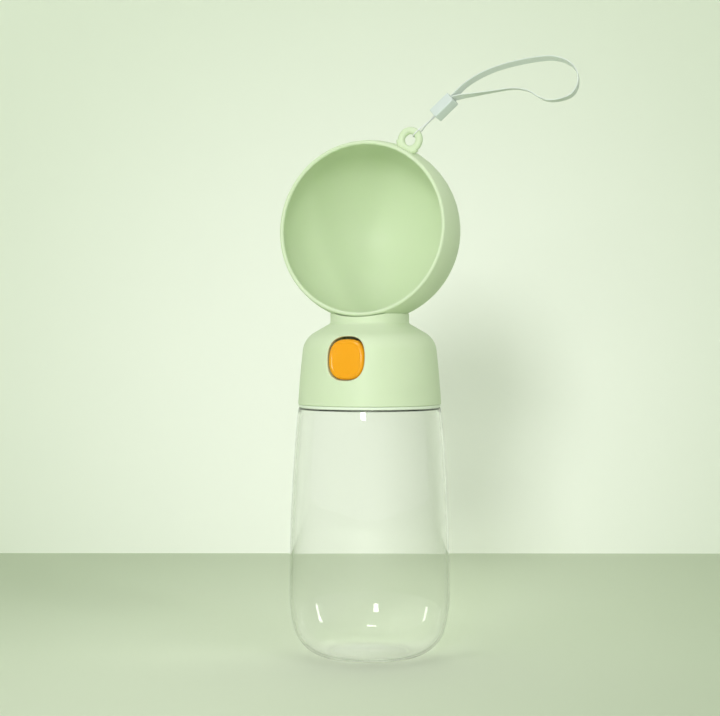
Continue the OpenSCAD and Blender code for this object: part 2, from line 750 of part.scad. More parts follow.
// Ribbon: an eight-sided flat section swept along the route
module wrist_strap() {
    start = slot_point(slider_end - ribbon_in, -layer_shift);
    finish = slot_point(slider_end - ribbon_in, layer_shift);
    leave = slot_point(slider_end + ribbon_out, -layer_shift);
    enter = slot_point(slider_end + ribbon_out, layer_shift);
    route = concat([start, leave], [for (p = ribbon_route) [p.x, p.y, 0]], [enter, finish]);
    rolls = concat([slot_roll, slot_roll], [for (p = ribbon_route) p.z], [-slot_roll, -slot_roll]);
    path = smooth(route, 2);
    last = len(path) - 1;
    rings = [for (i = [0 : last])
        let (
            t = along(path, i),
            roll = (rolls[floor(i / 2)] + rolls[ceil(i / 2)]) / 2,
            w = width_dir(t, roll),
            f = cross(t, w)
        )
        for (p = flat_section()) path[i] + p.x * w + p.y * f];
    color([0.85, 0.88, 0.87]) in_strap_frame()
        polyhedron(rings, tube_faces(last + 1, 8));
}

// Flat eight-sided section with softened corners
function flat_section() = let (w = ribbon_w / 2, t = ribbon_t / 2, c = ribbon_t * 0.28) [
    [w, -t + c], [w, t - c], [w - c, t], [-w + c, t],
    [-w, t - c], [-w, -t + c], [-w + c, -t], [w - c, -t]
];

// Thread: a round loop from the slider through the ring's hole
module strap_thread() {
    path = smooth(thread_path(), 2);
    last = len(path) - 1;
    side_dir = cross(slider_dir, [0, 0, 1]);
    rings = [for (i = [0 : last])
        let (t = along(path, i), n = side_dir, b = cross(t, n))
        for (j = [0 : 7]) path[i] + thread_r * (cos(45 * j) * n + sin(45 * j) * b)];
    color([0.95, 0.96, 0.96]) in_strap_frame()
        polyhedron(rings, tube_faces(last + 1, 8));
}

function thread_path() = concat(
    [slot_spot(slider_start + thread_in, 1)],
    [for (p = thread_route) p.x * slider_dir + [0, 0, p.y]],
    [slot_spot(slider_start + thread_in, -1)]
);

// Where the thread's two ends lie in the slot
function slot_spot(s, side) = s * slider_dir
    + side * thread_spread * width_dir(slider_dir, slot_roll);

// Square moulded bead with a slot through it for the ribbon's two ends
module strap_slider() {
    color([0.88, 0.9, 0.91]) in_strap_frame()
        rotate(slider_angle) rotate([90 - slot_roll, 0, 0])
        translate([slider_start, 0, 0]) difference() {
            translate([0, -slider_side / 2, -slider_side / 2])
                cube([slider_l, slider_side, slider_side]);
            translate([-cut, -slot_w / 2, -slot_t / 2])
                cube([slider_l + 2 * cut, slot_w, slot_t]);
        }
}

bottle();
seam_ring();
mouth_gasket();
inner_cap();
head_shell();
valve_body();
valve_end_plug();
inlet_seal();
valve_screws();
push_rod();
rod_seal();
valve_plug();
return_spring();
button();
outlet_tube();
bowl();
bowl_gasket();
bowl_nut();
strap_thread();
strap_slider();
wrist_strap();
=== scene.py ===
import math

import bmesh
import bpy
import numpy as np
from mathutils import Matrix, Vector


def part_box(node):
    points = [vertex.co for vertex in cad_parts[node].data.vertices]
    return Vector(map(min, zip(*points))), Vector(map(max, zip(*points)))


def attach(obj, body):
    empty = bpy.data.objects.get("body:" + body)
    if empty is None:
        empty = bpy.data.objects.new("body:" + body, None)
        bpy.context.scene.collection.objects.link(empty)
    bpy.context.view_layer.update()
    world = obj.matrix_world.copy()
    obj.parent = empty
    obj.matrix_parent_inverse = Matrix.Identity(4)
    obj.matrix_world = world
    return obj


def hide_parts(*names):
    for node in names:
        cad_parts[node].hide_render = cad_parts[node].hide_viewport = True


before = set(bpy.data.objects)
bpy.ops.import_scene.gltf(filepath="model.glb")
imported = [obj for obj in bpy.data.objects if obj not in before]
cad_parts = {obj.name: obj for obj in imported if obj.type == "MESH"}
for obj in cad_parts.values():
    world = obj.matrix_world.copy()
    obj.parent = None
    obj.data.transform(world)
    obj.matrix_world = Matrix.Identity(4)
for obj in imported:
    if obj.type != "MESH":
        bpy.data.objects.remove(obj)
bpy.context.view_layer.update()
print("frame loaded:", len(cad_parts), "nodes")

mm = 0.001


def cadSize(node):
    # lowest and highest corner of a node, in millimetres
    low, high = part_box(node)
    return np.array(low) / mm, np.array(high) / mm


# camera: straight at the bottle, a little from its left, with a long lens
camera = {
    "turn": 21.0,        # degrees round from the front
    "distance": 760.0,   # to the bottle's axis
    "height": 138.0,
    "lens": 92.5,
    "aimLeft": 0.30,     # degrees that the camera looks past the axis
    "aimDown": 1.18,
}
turn = math.radians(camera["turn"])
towardsCamera = np.array([math.sin(turn), -math.cos(turn), 0.0])
cameraRight = np.array([math.cos(turn), math.sin(turn), 0.0])
lensData = bpy.data.cameras.new("camera")
lensData.lens = camera["lens"]
lensData.sensor_width = 36.0
lensData.clip_start = 0.05
lensData.clip_end = 20.0
cameraObject = bpy.data.objects.new("camera", lensData)
bpy.context.scene.collection.objects.link(cameraObject)
cameraObject.location = (towardsCamera * camera["distance"] + [0, 0, camera["height"]]) * mm
cameraObject.rotation_euler = (
    math.radians(90 - camera["aimDown"]),
    0,
    math.radians(camera["turn"] + camera["aimLeft"]),
)
bpy.context.scene.camera = cameraObject
bpy.context.scene.view_settings.view_transform = "Standard"
print("camera placed")


# shapes: every surface is a grid of points in millimetres, rows by columns by three

def arc(centre, radius, start, end, count):
    # points on a circle about centre, from one angle to the other, in degrees
    a = np.radians(np.linspace(start, end, count))
    return np.column_stack([centre[0] + radius * np.cos(a), centre[1] + radius * np.sin(a)])


def softCorners(corners, radii, steps=6):
    # each corner of a closed outline becomes an arc that touches both of its sides
    corners = np.asarray(corners, float)
    rounded = []
    for i, radius in enumerate(radii):
        here = corners[i]
        if radius == 0:
            rounded.append(here[None])
            continue
        back = corners[i - 1] - here
        ahead = corners[(i + 1) % len(corners)] - here
        back, ahead = back / np.linalg.norm(back), ahead / np.linalg.norm(ahead)
        half = 0.5 * math.acos(np.clip(back @ ahead, -1, 1))
        middle = (back + ahead) / np.linalg.norm(back + ahead)
        centre = here + middle * radius / math.sin(half)
        start = here + back * radius / math.tan(half) - centre
        end = here + ahead * radius / math.tan(half) - centre
        sweep = math.pi - 2 * half
        t = np.linspace(0, 1, steps + 1)[:, None]
        rounded.append(centre + (np.sin((1 - t) * sweep) * start + np.sin(t * sweep) * end) / math.sin(sweep))
    return np.vstack(rounded)


def filled(path, longest, closed=False):
    # long stretches of an outline get points in between, so that shading stays tight at its corners
    ends = np.vstack([path[1:], path[:1]]) if closed else path[1:]
    starts = path if closed else path[:-1]
    parts = []
    for a, b in zip(starts, ends):
        count = max(1, math.ceil(np.linalg.norm(b - a) / longest))
        parts.append(a + (b - a) * (np.arange(count) / count)[:, None])
    if not closed:
        parts.append(path[-1:])
    return np.vstack(parts)


def turned(profile, steps):
    # a point at radius r and height z goes round the axis: (r cos a, r sin a, z)
    a = np.linspace(0, 2 * np.pi, steps, endpoint=False)
    r, z = profile[:, 0][:, None], profile[:, 1][:, None]
    return np.stack([r * np.cos(a), r * np.sin(a), z + 0 * a], axis=-1)


def gridFaces(rows, columns, wrapRows, wrapColumns):
    # a square cell joins each point with its neighbours in the next row and the next column
    i = np.arange(rows if wrapRows else rows - 1)[:, None]
    j = np.arange(columns if wrapColumns else columns - 1)[None, :]
    nextRow, nextColumn = (i + 1) % rows, (j + 1) % columns
    cells = [i * columns + j, i * columns + nextColumn, nextRow * columns + nextColumn, nextRow * columns + j]
    return np.stack(np.broadcast_arrays(*cells), axis=-1).reshape(-1, 4)


def ringSection(inner, outer, low, high, radii, steps, longest):
    # the rectangle between two radii and two heights, its corners rounded, from the inner lower one round
    corners = [(inner, low), (outer, low), (outer, high), (inner, high)]
    return filled(softCorners(corners, radii, steps), longest, True)


mergeWithin = 2e-6      # metres; closes seams and poles


def makePiece(name, surfaces, material, body, replaces=(), sharpAbove=40, laid=None):
    # surfaces: grids with their wrap flags, or ready lists of points and faces
    # laid: each point's place on the weave, in millimetres
    points, faces, first = [], [], 0
    for grid, *wraps in surfaces:
        if len(wraps) == 1:
            cells = wraps[0]
        else:
            cells = gridFaces(grid.shape[0], grid.shape[1], *wraps)
        flat = grid.reshape(-1, 3)
        points.append(flat)
        faces.append(cells + first)
        first += len(flat)
    mesh = bpy.data.meshes.new(name)
    mesh.from_pydata((np.vstack(points) * mm).tolist(), [], np.vstack(faces).tolist())
    if laid is not None:
        layer = mesh.attributes.new("laid", "FLOAT_VECTOR", "POINT")
        layer.data.foreach_set("vector", np.ascontiguousarray(laid, np.float32).ravel())
    work = bmesh.new()
    work.from_mesh(mesh)
    bmesh.ops.remove_doubles(work, verts=work.verts, dist=mergeWithin)
    bmesh.ops.recalc_face_normals(work, faces=work.faces)
    work.to_mesh(mesh)
    work.free()
    mesh.shade_smooth()
    mesh.set_sharp_from_angle(angle=math.radians(sharpAbove))
    mesh.materials.append(material)
    piece = bpy.data.objects.new(name, mesh)
    bpy.context.scene.collection.objects.link(piece)
    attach(piece, body)
    if replaces:
        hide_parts(*replaces)
    return piece


# materials

def linear(code):
    # an sRGB hex colour as linear red, green, blue and alpha
    channels = [int(code[i:i + 2], 16) / 255 for i in (1, 3, 5)]
    return [c / 12.92 if c <= 0.04045 else ((c + 0.055) / 1.055) ** 2.4 for c in channels] + [1.0]


def addNode(tree, kind, values=None, links=None, **settings):
    # a node with its settings, its sockets' values and the outputs linked to them
    node = tree.nodes.new(kind)
    for key, value in settings.items():
        setattr(node, key, value)
    for key, value in (values or {}).items():
        node.inputs[key].default_value = value
    for key, source in (links or {}).items():
        tree.links.new(source, node.inputs[key])
    return node


def newMaterial(name):
    # an empty node material
    material = bpy.data.materials.new(name)
    material.use_nodes = True
    material.node_tree.nodes.clear()
    return material, material.node_tree


def finishSurface(tree, shader):
    # the shader goes to the material's output
    addNode(tree, "ShaderNodeOutputMaterial", links={"Surface": shader})


def mouldedPlastic(name, look):
    # moulded plastic: an even satin skin, faintly mottled, with the fine grain of the mould
    material, tree = newMaterial(name)
    place = addNode(tree, "ShaderNodeTexCoord").outputs["Object"]
    cloud = addNode(
        tree, "ShaderNodeTexNoise", {"Scale": 1 / (look["mottle"] * mm), "Detail": 2.0}, {"Vector": place}
    ).outputs["Fac"]
    colour = addNode(
        tree, "ShaderNodeMix", {6: linear(look["colour"]), 7: linear(look["colourTwo"])},
        {0: cloud}, data_type="RGBA",
    ).outputs[2]
    rough = addNode(
        tree, "ShaderNodeMapRange", {3: look["rough"] - look["roughSpread"], 4: look["rough"] + look["roughSpread"]},
        {0: cloud},
    ).outputs[0]
    grain = addNode(
        tree, "ShaderNodeTexNoise", {"Scale": 1 / (look["grain"] * mm), "Detail": 3.0, "Roughness": 0.6},
        {"Vector": place},
    ).outputs["Fac"]
    bump = addNode(
        tree, "ShaderNodeBump", {"Strength": look["grainStrength"], "Distance": look["grainDepth"] * mm},
        {"Height": grain},
    ).outputs[0]
    shader = addNode(
        tree, "ShaderNodeBsdfPrincipled",
        {
            "IOR": look["ior"],
            "Subsurface Weight": look["bleed"],
            "Subsurface Radius": look["bleedRadius"],
            "Subsurface Scale": 0.001,
        },
        {"Base Color": colour, "Roughness": rough, "Normal": bump},
    ).outputs[0]
    finishSurface(tree, shader)
    return material


def drawnSteel(name, look):
    # drawn stainless wire and rod: fine scratches along the drawing direction, Y
    material, tree = newMaterial(name)
    place = addNode(tree, "ShaderNodeTexCoord").outputs["Object"]
    stretched = addNode(
        tree, "ShaderNodeMapping", {"Scale": (1.0, look["stretch"], 1.0)}, {"Vector": place}
    ).outputs[0]
    scratch = addNode(
        tree, "ShaderNodeTexNoise", {"Scale": 1 / (look["scratch"] * mm), "Detail": 4.0}, {"Vector": stretched}
    ).outputs["Fac"]
    rough = addNode(
        tree, "ShaderNodeMapRange", {3: look["roughLow"], 4: look["roughHigh"]}, {0: scratch}
    ).outputs[0]
    bump = addNode(
        tree, "ShaderNodeBump", {"Strength": 0.3, "Distance": look["scratchDepth"] * mm}, {"Height": scratch}
    ).outputs[0]
    shader = addNode(
        tree, "ShaderNodeBsdfPrincipled", {"Base Color": linear(look["colour"]), "Metallic": 1.0},
        {"Roughness": rough, "Normal": bump},
    ).outputs[0]
    finishSurface(tree, shader)
    return material


def blownCopolyester(name, look):
    # stretch-blown copolyester: clear, glossy, with a slow wave left by the blowing
    material, tree = newMaterial(name)
    place = addNode(tree, "ShaderNodeTexCoord").outputs["Object"]
    wave = addNode(
        tree, "ShaderNodeTexNoise", {"Scale": 1 / (look["wave"] * mm), "Detail": 0.0}, {"Vector": place}
    ).outputs["Fac"]
    bump = addNode(
        tree, "ShaderNodeBump", {"Strength": 1.0, "Distance": look["waveDepth"] * mm}, {"Height": wave}
    ).outputs[0]
    clear = addNode(
        tree, "ShaderNodeBsdfPrincipled",
        {
            "Base Color": linear(look["colour"]),
            "Roughness": look["rough"],
            "IOR": look["ior"],
            "Transmission Weight": 1.0,
        },
        {"Normal": bump},
    ).outputs[0]
    clearWay = addNode(tree, "ShaderNodeBsdfTransparent", {"Color": linear(look["shadow"])}).outputs[0]
    path = addNode(tree, "ShaderNodeLightPath").outputs["Is Shadow Ray"]
    shader = addNode(tree, "ShaderNodeMixShader", links={0: path, 1: clear, 2: clearWay}).outputs[0]
    finishSurface(tree, shader)
    return material


clearBottle = blownCopolyester("blown_copolyester", {
    "colour": "#FEFEFE", "shadow": "#F8FAF5", "rough": 0.015, "ior": 1.5, "wave": 26.0, "waveDepth": 0.02,
})
greenAbs = mouldedPlastic("moulded_abs_green", {
    "colour": "#D5E3C4", "colourTwo": "#D0DFBE", "mottle": 18.0, "rough": 0.5, "roughSpread": 0.04,
    "grain": 0.35, "grainStrength": 0.25, "grainDepth": 0.02, "ior": 1.53,
    "bleed": 0.08, "bleedRadius": (1.0, 1.4, 0.7),
})
orangeAbs = mouldedPlastic("moulded_abs_orange", {
    "colour": "#F4A602", "colourTwo": "#F1A101", "mottle": 9.0, "rough": 0.2, "roughSpread": 0.03,
    "grain": 0.3, "grainStrength": 0.25, "grainDepth": 0.015, "ior": 1.53,
    "bleed": 0.05, "bleedRadius": (1.2, 0.6, 0.2),
})
whitePp = mouldedPlastic("moulded_polypropylene_white", {
    "colour": "#EEF1EA", "colourTwo": "#E7EBE3", "mottle": 14.0, "rough": 0.42, "roughSpread": 0.05,
    "grain": 0.5, "grainStrength": 0.3, "grainDepth": 0.02, "ior": 1.49,
    "bleed": 0.2, "bleedRadius": (2.0, 2.0, 1.6),
})
palePp = mouldedPlastic("moulded_polypropylene_pale", {
    "colour": "#EAF4E3", "colourTwo": "#E4EFDC", "mottle": 12.0, "rough": 0.40, "roughSpread": 0.04,
    "grain": 0.4, "grainStrength": 0.25, "grainDepth": 0.02, "ior": 1.49,
    "bleed": 0.1, "bleedRadius": (1.5, 1.8, 1.2),
})
silicone = mouldedPlastic("moulded_silicone", {
    "colour": "#E4E8E2", "colourTwo": "#DADFD8", "mottle": 6.0, "rough": 0.55, "roughSpread": 0.06,
    "grain": 0.4, "grainStrength": 0.3, "grainDepth": 0.02, "ior": 1.41,
    "bleed": 0.35, "bleedRadius": (2.0, 2.0, 2.0),
})
nitrile = mouldedPlastic("moulded_nitrile_rubber", {
    "colour": "#262626", "colourTwo": "#303030", "mottle": 3.0, "rough": 0.6, "roughSpread": 0.08,
    "grain": 0.3, "grainStrength": 0.4, "grainDepth": 0.03, "ior": 1.52,
    "bleed": 0.0, "bleedRadius": (1.0, 1.0, 1.0),
})
sliderPlastic = mouldedPlastic("moulded_acetal_grey", {
    "colour": "#D6DFDE", "colourTwo": "#D0D9D8", "mottle": 5.0, "rough": 0.33, "roughSpread": 0.04,
    "grain": 0.3, "grainStrength": 0.2, "grainDepth": 0.015, "ior": 1.48,
    "bleed": 0.05, "bleedRadius": (1.0, 1.0, 1.0),
})
stainless = drawnSteel("drawn_stainless_steel", {
    "colour": "#C9CACC", "scratch": 0.12, "scratchDepth": 0.01, "stretch": 0.08, "roughLow": 0.18, "roughHigh": 0.34,
})
print("materials made")

# the clear bottle: floor with a slight push-up, three arcs up the side, shoulder, threaded neck
bottle = {
    "wall": 1.1, "bellyRadius": 32.95, "bellyHeight": 25.0, "sideArc": 824.0, "bellyArc": 50.0,
    "cornerRadius": 15.0, "shoulder": 102.2, "shoulderEdge": 0.4, "shoulderPlate": 0.6, "neckInset": 7.2,
    "neckWall": 2.0, "neckFillet": 0.8, "rimRound": 0.5, "innerRound": 0.4,
    "curlStart": 97.8, "curlArc": 45.0,         # the side curves in a little more just under the shoulder
    "pushUp": 0.45, "pushUpRadius": 15.4,       # no wider than the flat of the floor
    "threadHeight": 0.55, "threadWidth": 1.5, "threadPitch": 4.0, "threadStart": 103.9, "threadTurns": 1.2,
    "threadSteep": 1.6, "threadFade": 25.0,     # degrees over which the thread rises from the wall
    "columns": 288,
}
neckTop = cadSize("bottle")[1][2]
seamHigh = cadSize("seam_ring")[1]
gasketLow, gasketHigh = cadSize("mouth_gasket")
neckRadius = cadSize("head_shell")[1][0] - bottle["neckInset"]
neckBore = neckRadius - bottle["neckWall"]
shoulderHeight = bottle["shoulder"]


def bottleSide(inset, top):
    # the side from the floor up: corner arc, belly arc and long side arc, all set in by the wall; above the
    # curl's start the radius falls by the square of the height over twice the curl's own radius
    belly = np.array([bottle["bellyRadius"] - bottle["bellyArc"], bottle["bellyHeight"]])
    side = np.array([bottle["bellyRadius"] - bottle["sideArc"], bottle["bellyHeight"]])
    gap = bottle["bellyArc"] - bottle["cornerRadius"]
    lean = math.degrees(math.asin((bottle["cornerRadius"] - belly[1]) / gap))
    corner = belly + gap * np.array([math.cos(math.radians(lean)), math.sin(math.radians(lean))])
    curl, rise = (
        math.degrees(math.asin((z - side[1]) / (bottle["sideArc"] - inset))) for z in (bottle["curlStart"], top)
    )
    path = np.vstack([
        arc(corner, bottle["cornerRadius"] - inset, -90, lean, 26),
        arc(belly, bottle["bellyArc"] - inset, lean, 0, 10)[1:],
        arc(side, bottle["sideArc"] - inset, 0, curl, 34)[1:],
        arc(side, bottle["sideArc"] - inset, curl, rise, 8)[1:],
    ])
    path[:, 0] -= np.maximum(path[:, 1] - bottle["curlStart"], 0) ** 2 / (2 * bottle["curlArc"])
    return path


def pushedFloor(height):
    # the floor lifts towards its middle as a smooth hump: cosine from the push-up's edge to the axis
    r = np.linspace(0, bottle["pushUpRadius"], 14)
    lift = bottle["pushUp"] * (0.5 + 0.5 * np.cos(np.pi * r / bottle["pushUpRadius"]))
    return np.column_stack([r, height + lift])


edge, fillet, rimRound = bottle["shoulderEdge"], bottle["neckFillet"], bottle["rimRound"]
outside = bottleSide(0, shoulderHeight - edge)
edgeCentre = (outside[-1, 0] - edge, shoulderHeight - edge)
neckFoot = arc((neckRadius + fillet, shoulderHeight + fillet), fillet, -90, -180, 6)
neckHeights = np.linspace(shoulderHeight + fillet + 0.1, neckTop - rimRound - 0.1, 60)
neckOutside = np.column_stack([np.full(60, neckRadius), neckHeights])
rimStart = neckTop - 3
rim = softCorners(
    [(neckRadius, rimStart), (neckRadius, neckTop), (neckBore, neckTop), (neckBore, rimStart)],
    [0, rimRound, rimRound, 0], 5,
)[1:-1]
plateBottom = shoulderHeight - bottle["shoulderPlate"]
inside = bottleSide(bottle["wall"], plateBottom - 1.5)
insideTop = softCorners(
    [inside[-1], (inside[-1, 0] - 0.05, plateBottom), (neckBore, plateBottom), (neckBore, shoulderHeight + 1)],
    [0, bottle["innerRound"], rimRound, 0], 8,
)[1:]
bottleProfile = np.vstack([
    pushedFloor(0), outside, arc(edgeCentre, edge, 10, 90, 8)[1:], neckFoot, neckOutside, rim,
    insideTop[::-1], inside[::-1], pushedFloor(bottle["wall"])[::-1],
])
bottleProfile = filled(bottleProfile, 4.0)
bottleGrid = turned(bottleProfile, bottle["columns"])


def threadRidge(grid, start, direction):
    # a ridge on a turned wall: a cosine, cut off flat at its crest, about a line that climbs one pitch a turn
    angle = np.degrees(np.arctan2(grid[..., 1], grid[..., 0])) % 360
    lift = np.zeros(angle.shape)
    for lap in range(2):
        along = angle + 360 * lap
        away = (grid[..., 2] - start - bottle["threadPitch"] * along / 360) / (bottle["threadWidth"] / 2)
        left = 360 * bottle["threadTurns"] - along
        ends = np.clip(along / bottle["threadFade"], 0, 1) * np.clip(left / bottle["threadFade"], 0, 1)
        crest = np.clip(bottle["threadSteep"] * np.cos(away * np.pi / 2), 0, 1)
        lift = np.maximum(lift, np.where(np.abs(away) < 1, crest, 0) * ends)
    radius = np.hypot(grid[..., 0], grid[..., 1])
    scale = 1 + direction * bottle["threadHeight"] * lift / radius
    return np.stack([grid[..., 0] * scale, grid[..., 1] * scale, grid[..., 2]], axis=-1)


onNeck = np.isclose(bottleProfile[:, 0], neckRadius) & (bottleProfile[:, 1] > shoulderHeight + fillet)
bottleGrid[onNeck] = threadRidge(bottleGrid[onNeck], bottle["threadStart"], 1)
makePiece("clear_bottle", [(bottleGrid, False, True)], clearBottle, "bottle", ["bottle"])
print("bottle made")

# the head: numbers that the shell, the bowl and the button share
head = {
    "wall": 2.0, "baseLift": 0.45, "baseRound": 0.4, "bow": 407.0, "bowDrop": 23.5,
    "shoulderStart": 22.6, "shoulderRadius": 9.5, "coneAngle": 30.0, "collarRadius": 16.15, "collarRound": 0.3,
    "seatInner": 9.95, "seatEdge": 0.4, "pocketRadius": 6.8, "pocketDrop": 1.6,
    "padRadius": 10.75, "padThick": 1.6, "padDrop": 2.4,
    "lipSpare": 0.45, "lipFrom": 6.0,           # the relief in the collar under the bowl's lip
    "windowWidth": 15.8, "windowHeight": 17.6, "windowCentre": 122.6, "squareness": 2.6, "edgeRound": 0.35,
    "shelfDepth": 3.7, "shelfThick": 0.7, "shelfGap": 0.1, "buttonGap": 0.3, "buttonTopGap": 1.1,
    "patchHalfAngle": 27.0, "patchLow": 109.5, "patchHigh": 132.4, "columns": 320,
}
shellLow, shellHigh = cadSize("head_shell")
headRadius, headBase = shellHigh[0], shellLow[2] + head["baseLift"]
bowLean = math.asin(head["bowDrop"] / head["bow"])
bowCentre = np.array([headRadius - head["bow"] * math.cos(bowLean), shellLow[2] - head["bowDrop"]])
shoulderLean = math.asin((head["shoulderStart"] + head["bowDrop"]) / head["bow"])
shoulderCentre = bowCentre + (head["bow"] - head["shoulderRadius"]) * np.array(
    [math.cos(shoulderLean), math.sin(shoulderLean)]
)
ball = {
    "radius": 37.2, "height": 174.4, "wall": 1.7, "mouthOffset": 9.5, "mouthTilt": 5.0, "seatGap": 0.06,
    "footRadius": 6.6, "footEdge": 0.3, "drainRadius": 3.5, "drainRound": 0.4, "drainEdge": 0.12,
    "nutBore": 4.95, "nutBoreDepth": 2.2, "boreEdge": 0.2, "columns": 288,
}
coneLean, coneSlope = math.radians(90 - head["coneAngle"]), math.tan(math.radians(head["coneAngle"]))


def shellRadius(z, inset):
    # radius of the shell at a height: bowed side, then shoulder arc, then cone, all set in by the wall
    z = np.asarray(z, float)
    bowR, arcR = head["bow"] - inset, head["shoulderRadius"] - inset
    bowed = bowCentre[0] + np.sqrt(np.maximum(bowR ** 2 - (z - bowCentre[1]) ** 2, 0))
    rounded = shoulderCentre[0] + np.sqrt(np.maximum(arcR ** 2 - (z - shoulderCentre[1]) ** 2, 0))
    coneR = shoulderCentre[0] + arcR * math.cos(coneLean)
    coneZ = shoulderCentre[1] + arcR * math.sin(coneLean)
    cone = coneR - (z - coneZ) / coneSlope
    arcFrom = shoulderCentre[1] + arcR * math.sin(shoulderLean)
    return np.where(z < arcFrom, bowed, np.where(z < coneZ, rounded, cone))


def coneHeight(radius, inset):
    # height at which the cone, set in by the wall, has this radius
    arcR = head["shoulderRadius"] - inset
    coneR = shoulderCentre[0] + arcR * math.cos(coneLean)
    return shoulderCentre[1] + arcR * math.sin(coneLean) + (coneR - radius) * coneSlope


def ballLow(radius, extra=0.0):
    # height of the ball's underside at a distance from the axis, with its radius grown by the extra
    return ball["height"] - math.sqrt((ball["radius"] + extra) ** 2 - radius ** 2)


def onProfile(z, inset):
    # the shell's radius and the height, row by row
    return np.column_stack([shellRadius(z, inset), z])


patchZ = np.linspace(head["patchLow"], head["patchHigh"], 41)
collar, collarRound, baseRound = head["collarRadius"], head["collarRound"], head["baseRound"]
pocket, pad, seatInner = head["pocketRadius"], head["padRadius"], head["seatInner"]
outerTop = coneHeight(collar, 0)
innerCollar = collar - head["wall"]
innerTop = coneHeight(innerCollar, head["wall"])
baseArc = arc((headRadius - baseRound, headBase + baseRound), baseRound, -90, -15, 4)
lowZ = filled(onProfile([headBase + baseRound, head["patchLow"]], 0), 0.6)[:-1, 1]
highZ = np.linspace(head["patchHigh"], outerTop - collarRound, 14)[1:]
seatOuter = [(r, ballLow(r, ball["seatGap"])) for r in np.linspace(collar - collarRound, seatInner, 9)]
pocketZ = ballLow(ball["footRadius"]) - head["pocketDrop"]
padZ = pocketZ - head["padThick"]
shellOutside = np.vstack([
    baseArc, onProfile(lowZ, 0), onProfile(patchZ, 0), onProfile(highZ, 0),
    [(collar, outerTop + collarRound), (collar, ballLow(collar, ball["seatGap"]) - head["seatEdge"])],
    seatOuter,
    [(seatInner, pocketZ), (pocket, pocketZ), (pocket, padZ), (pad, padZ), (pad, ballLow(pad) - head["padDrop"]),
     (innerCollar, ballLow(innerCollar) - head["padDrop"]), (innerCollar, innerTop)],
])
innerHighZ = np.linspace(innerTop, head["patchHigh"], 8)[1:-1]
innerLowZ = np.linspace(head["patchLow"], headBase, 12)[1:]
shellInside = np.vstack([onProfile(z, head["wall"]) for z in (innerHighZ, patchZ[::-1], innerLowZ)])
shellProfile = np.vstack([shellOutside, shellInside])
a = np.linspace(0, 2 * np.pi, head["columns"], endpoint=False) - np.pi / 2
shellGrid = np.stack([
    shellProfile[:, :1] * np.cos(a), shellProfile[:, :1] * np.sin(a), shellProfile[:, 1:] + 0 * a
], axis=-1)
# the collar is relieved under the bowl's lip, to a cylinder round the mouth's axis: the lower of both surfaces
tilt = math.radians(ball["mouthTilt"])
ballMouth = math.sqrt(ball["radius"] ** 2 - ball["mouthOffset"] ** 2) + head["lipSpare"]
patchStart = len(baseArc) + len(lowZ)
rimRows = np.arange(patchStart + len(patchZ) + len(highZ) + 1, len(shellOutside) - 6)
x, y, z = (shellGrid[rimRows, :, k] for k in range(3))
down = -np.sqrt(ballMouth ** 2 - x ** 2)
outwards = (-y + down * math.sin(tilt)) / math.cos(tilt)
lipFloor = ball["height"] + outwards * math.sin(tilt) + down * math.cos(tilt)
seat = ball["height"] - np.sqrt((ball["radius"] + ball["seatGap"]) ** 2 - x ** 2 - y ** 2)
shellGrid[rimRows, :, 2] -= np.where(outwards > head["lipFrom"], np.maximum(0, seat - lipFloor), 0)
halfColumns = round(head["patchHalfAngle"] / 360 * head["columns"])
patchColumns = np.arange(-halfColumns, halfColumns + 1)


def patchEdge(rows):
    # the grid points round the window's field: up the right side, back along the top, down, along the bottom
    right = [(r, patchColumns[-1]) for r in rows[:-1]]
    top = [(rows[-1], c) for c in patchColumns[::-1][:-1]]
    left = [(r, patchColumns[0]) for r in rows[::-1][:-1]]
    bottom = [(rows[0], c) for c in patchColumns[:-1]]
    loop = np.array(right + top + left + bottom)
    return shellGrid[loop[:, 0], loop[:, 1] % head["columns"]]


def onShell(x, z, inset):
    # the point of the shell's front straight behind a place in the X-Z plane
    r = shellRadius(z, inset)
    return np.stack([x, -np.sqrt(np.maximum(r ** 2 - x ** 2, 0)), z], axis=-1)


def squircleOn(edgeLoop, wide, tall, centre):
    # the squircle met by the ray from the window's centre to each point of the field's edge
    dx, dz = edgeLoop[:, 0], edgeLoop[:, 2] - head["windowCentre"]
    n = head["squareness"]
    s = (np.abs(dx / wide) ** n + np.abs(dz / tall) ** n) ** (-1 / n)
    return dx * s, centre + dz * s


def windowOutline(edgeLoop, grow):
    # the window's outline, grown by so much
    return squircleOn(
        edgeLoop, head["windowWidth"] / 2 + grow, head["windowHeight"] / 2 + grow, head["windowCentre"]
    )


buttonWide = head["windowWidth"] - 2 * head["buttonGap"]
buttonTall = head["windowHeight"] - head["buttonGap"] - head["buttonTopGap"]
buttonCentre = head["windowCentre"] - head["windowHeight"] / 2 + head["buttonGap"] + buttonTall / 2


def buttonOutline(edgeLoop, grow):
    # the button's own outline, which stands lower in the window
    return squircleOn(edgeLoop, buttonWide / 2 + grow, buttonTall / 2 + grow, buttonCentre)


outerRows = np.arange(patchStart, patchStart + len(patchZ))
innerStart = len(shellOutside) + len(innerHighZ)
innerRows = np.arange(innerStart, innerStart + len(patchZ))[::-1]
outerEdge, innerEdge = patchEdge(outerRows), patchEdge(innerRows)


def fieldRings(edgeLoop, inset, grow, count):
    # rings from the field's edge in to the outline: straight blends of both in angle and height
    x, z = windowOutline(edgeLoop, grow)
    angleEdge = np.arcsin(edgeLoop[:, 0] / shellRadius(edgeLoop[:, 2], inset))
    angleIn = np.arcsin(x / shellRadius(z, inset))
    rings = []
    for t in np.linspace(0, 1, count):
        angle = angleEdge + (angleIn - angleEdge) * t
        height = edgeLoop[:, 2] + (z - edgeLoop[:, 2]) * t
        r = shellRadius(height, inset)
        rings.append(np.stack([r * np.sin(angle), -r * np.cos(angle), height], axis=-1))
    return rings


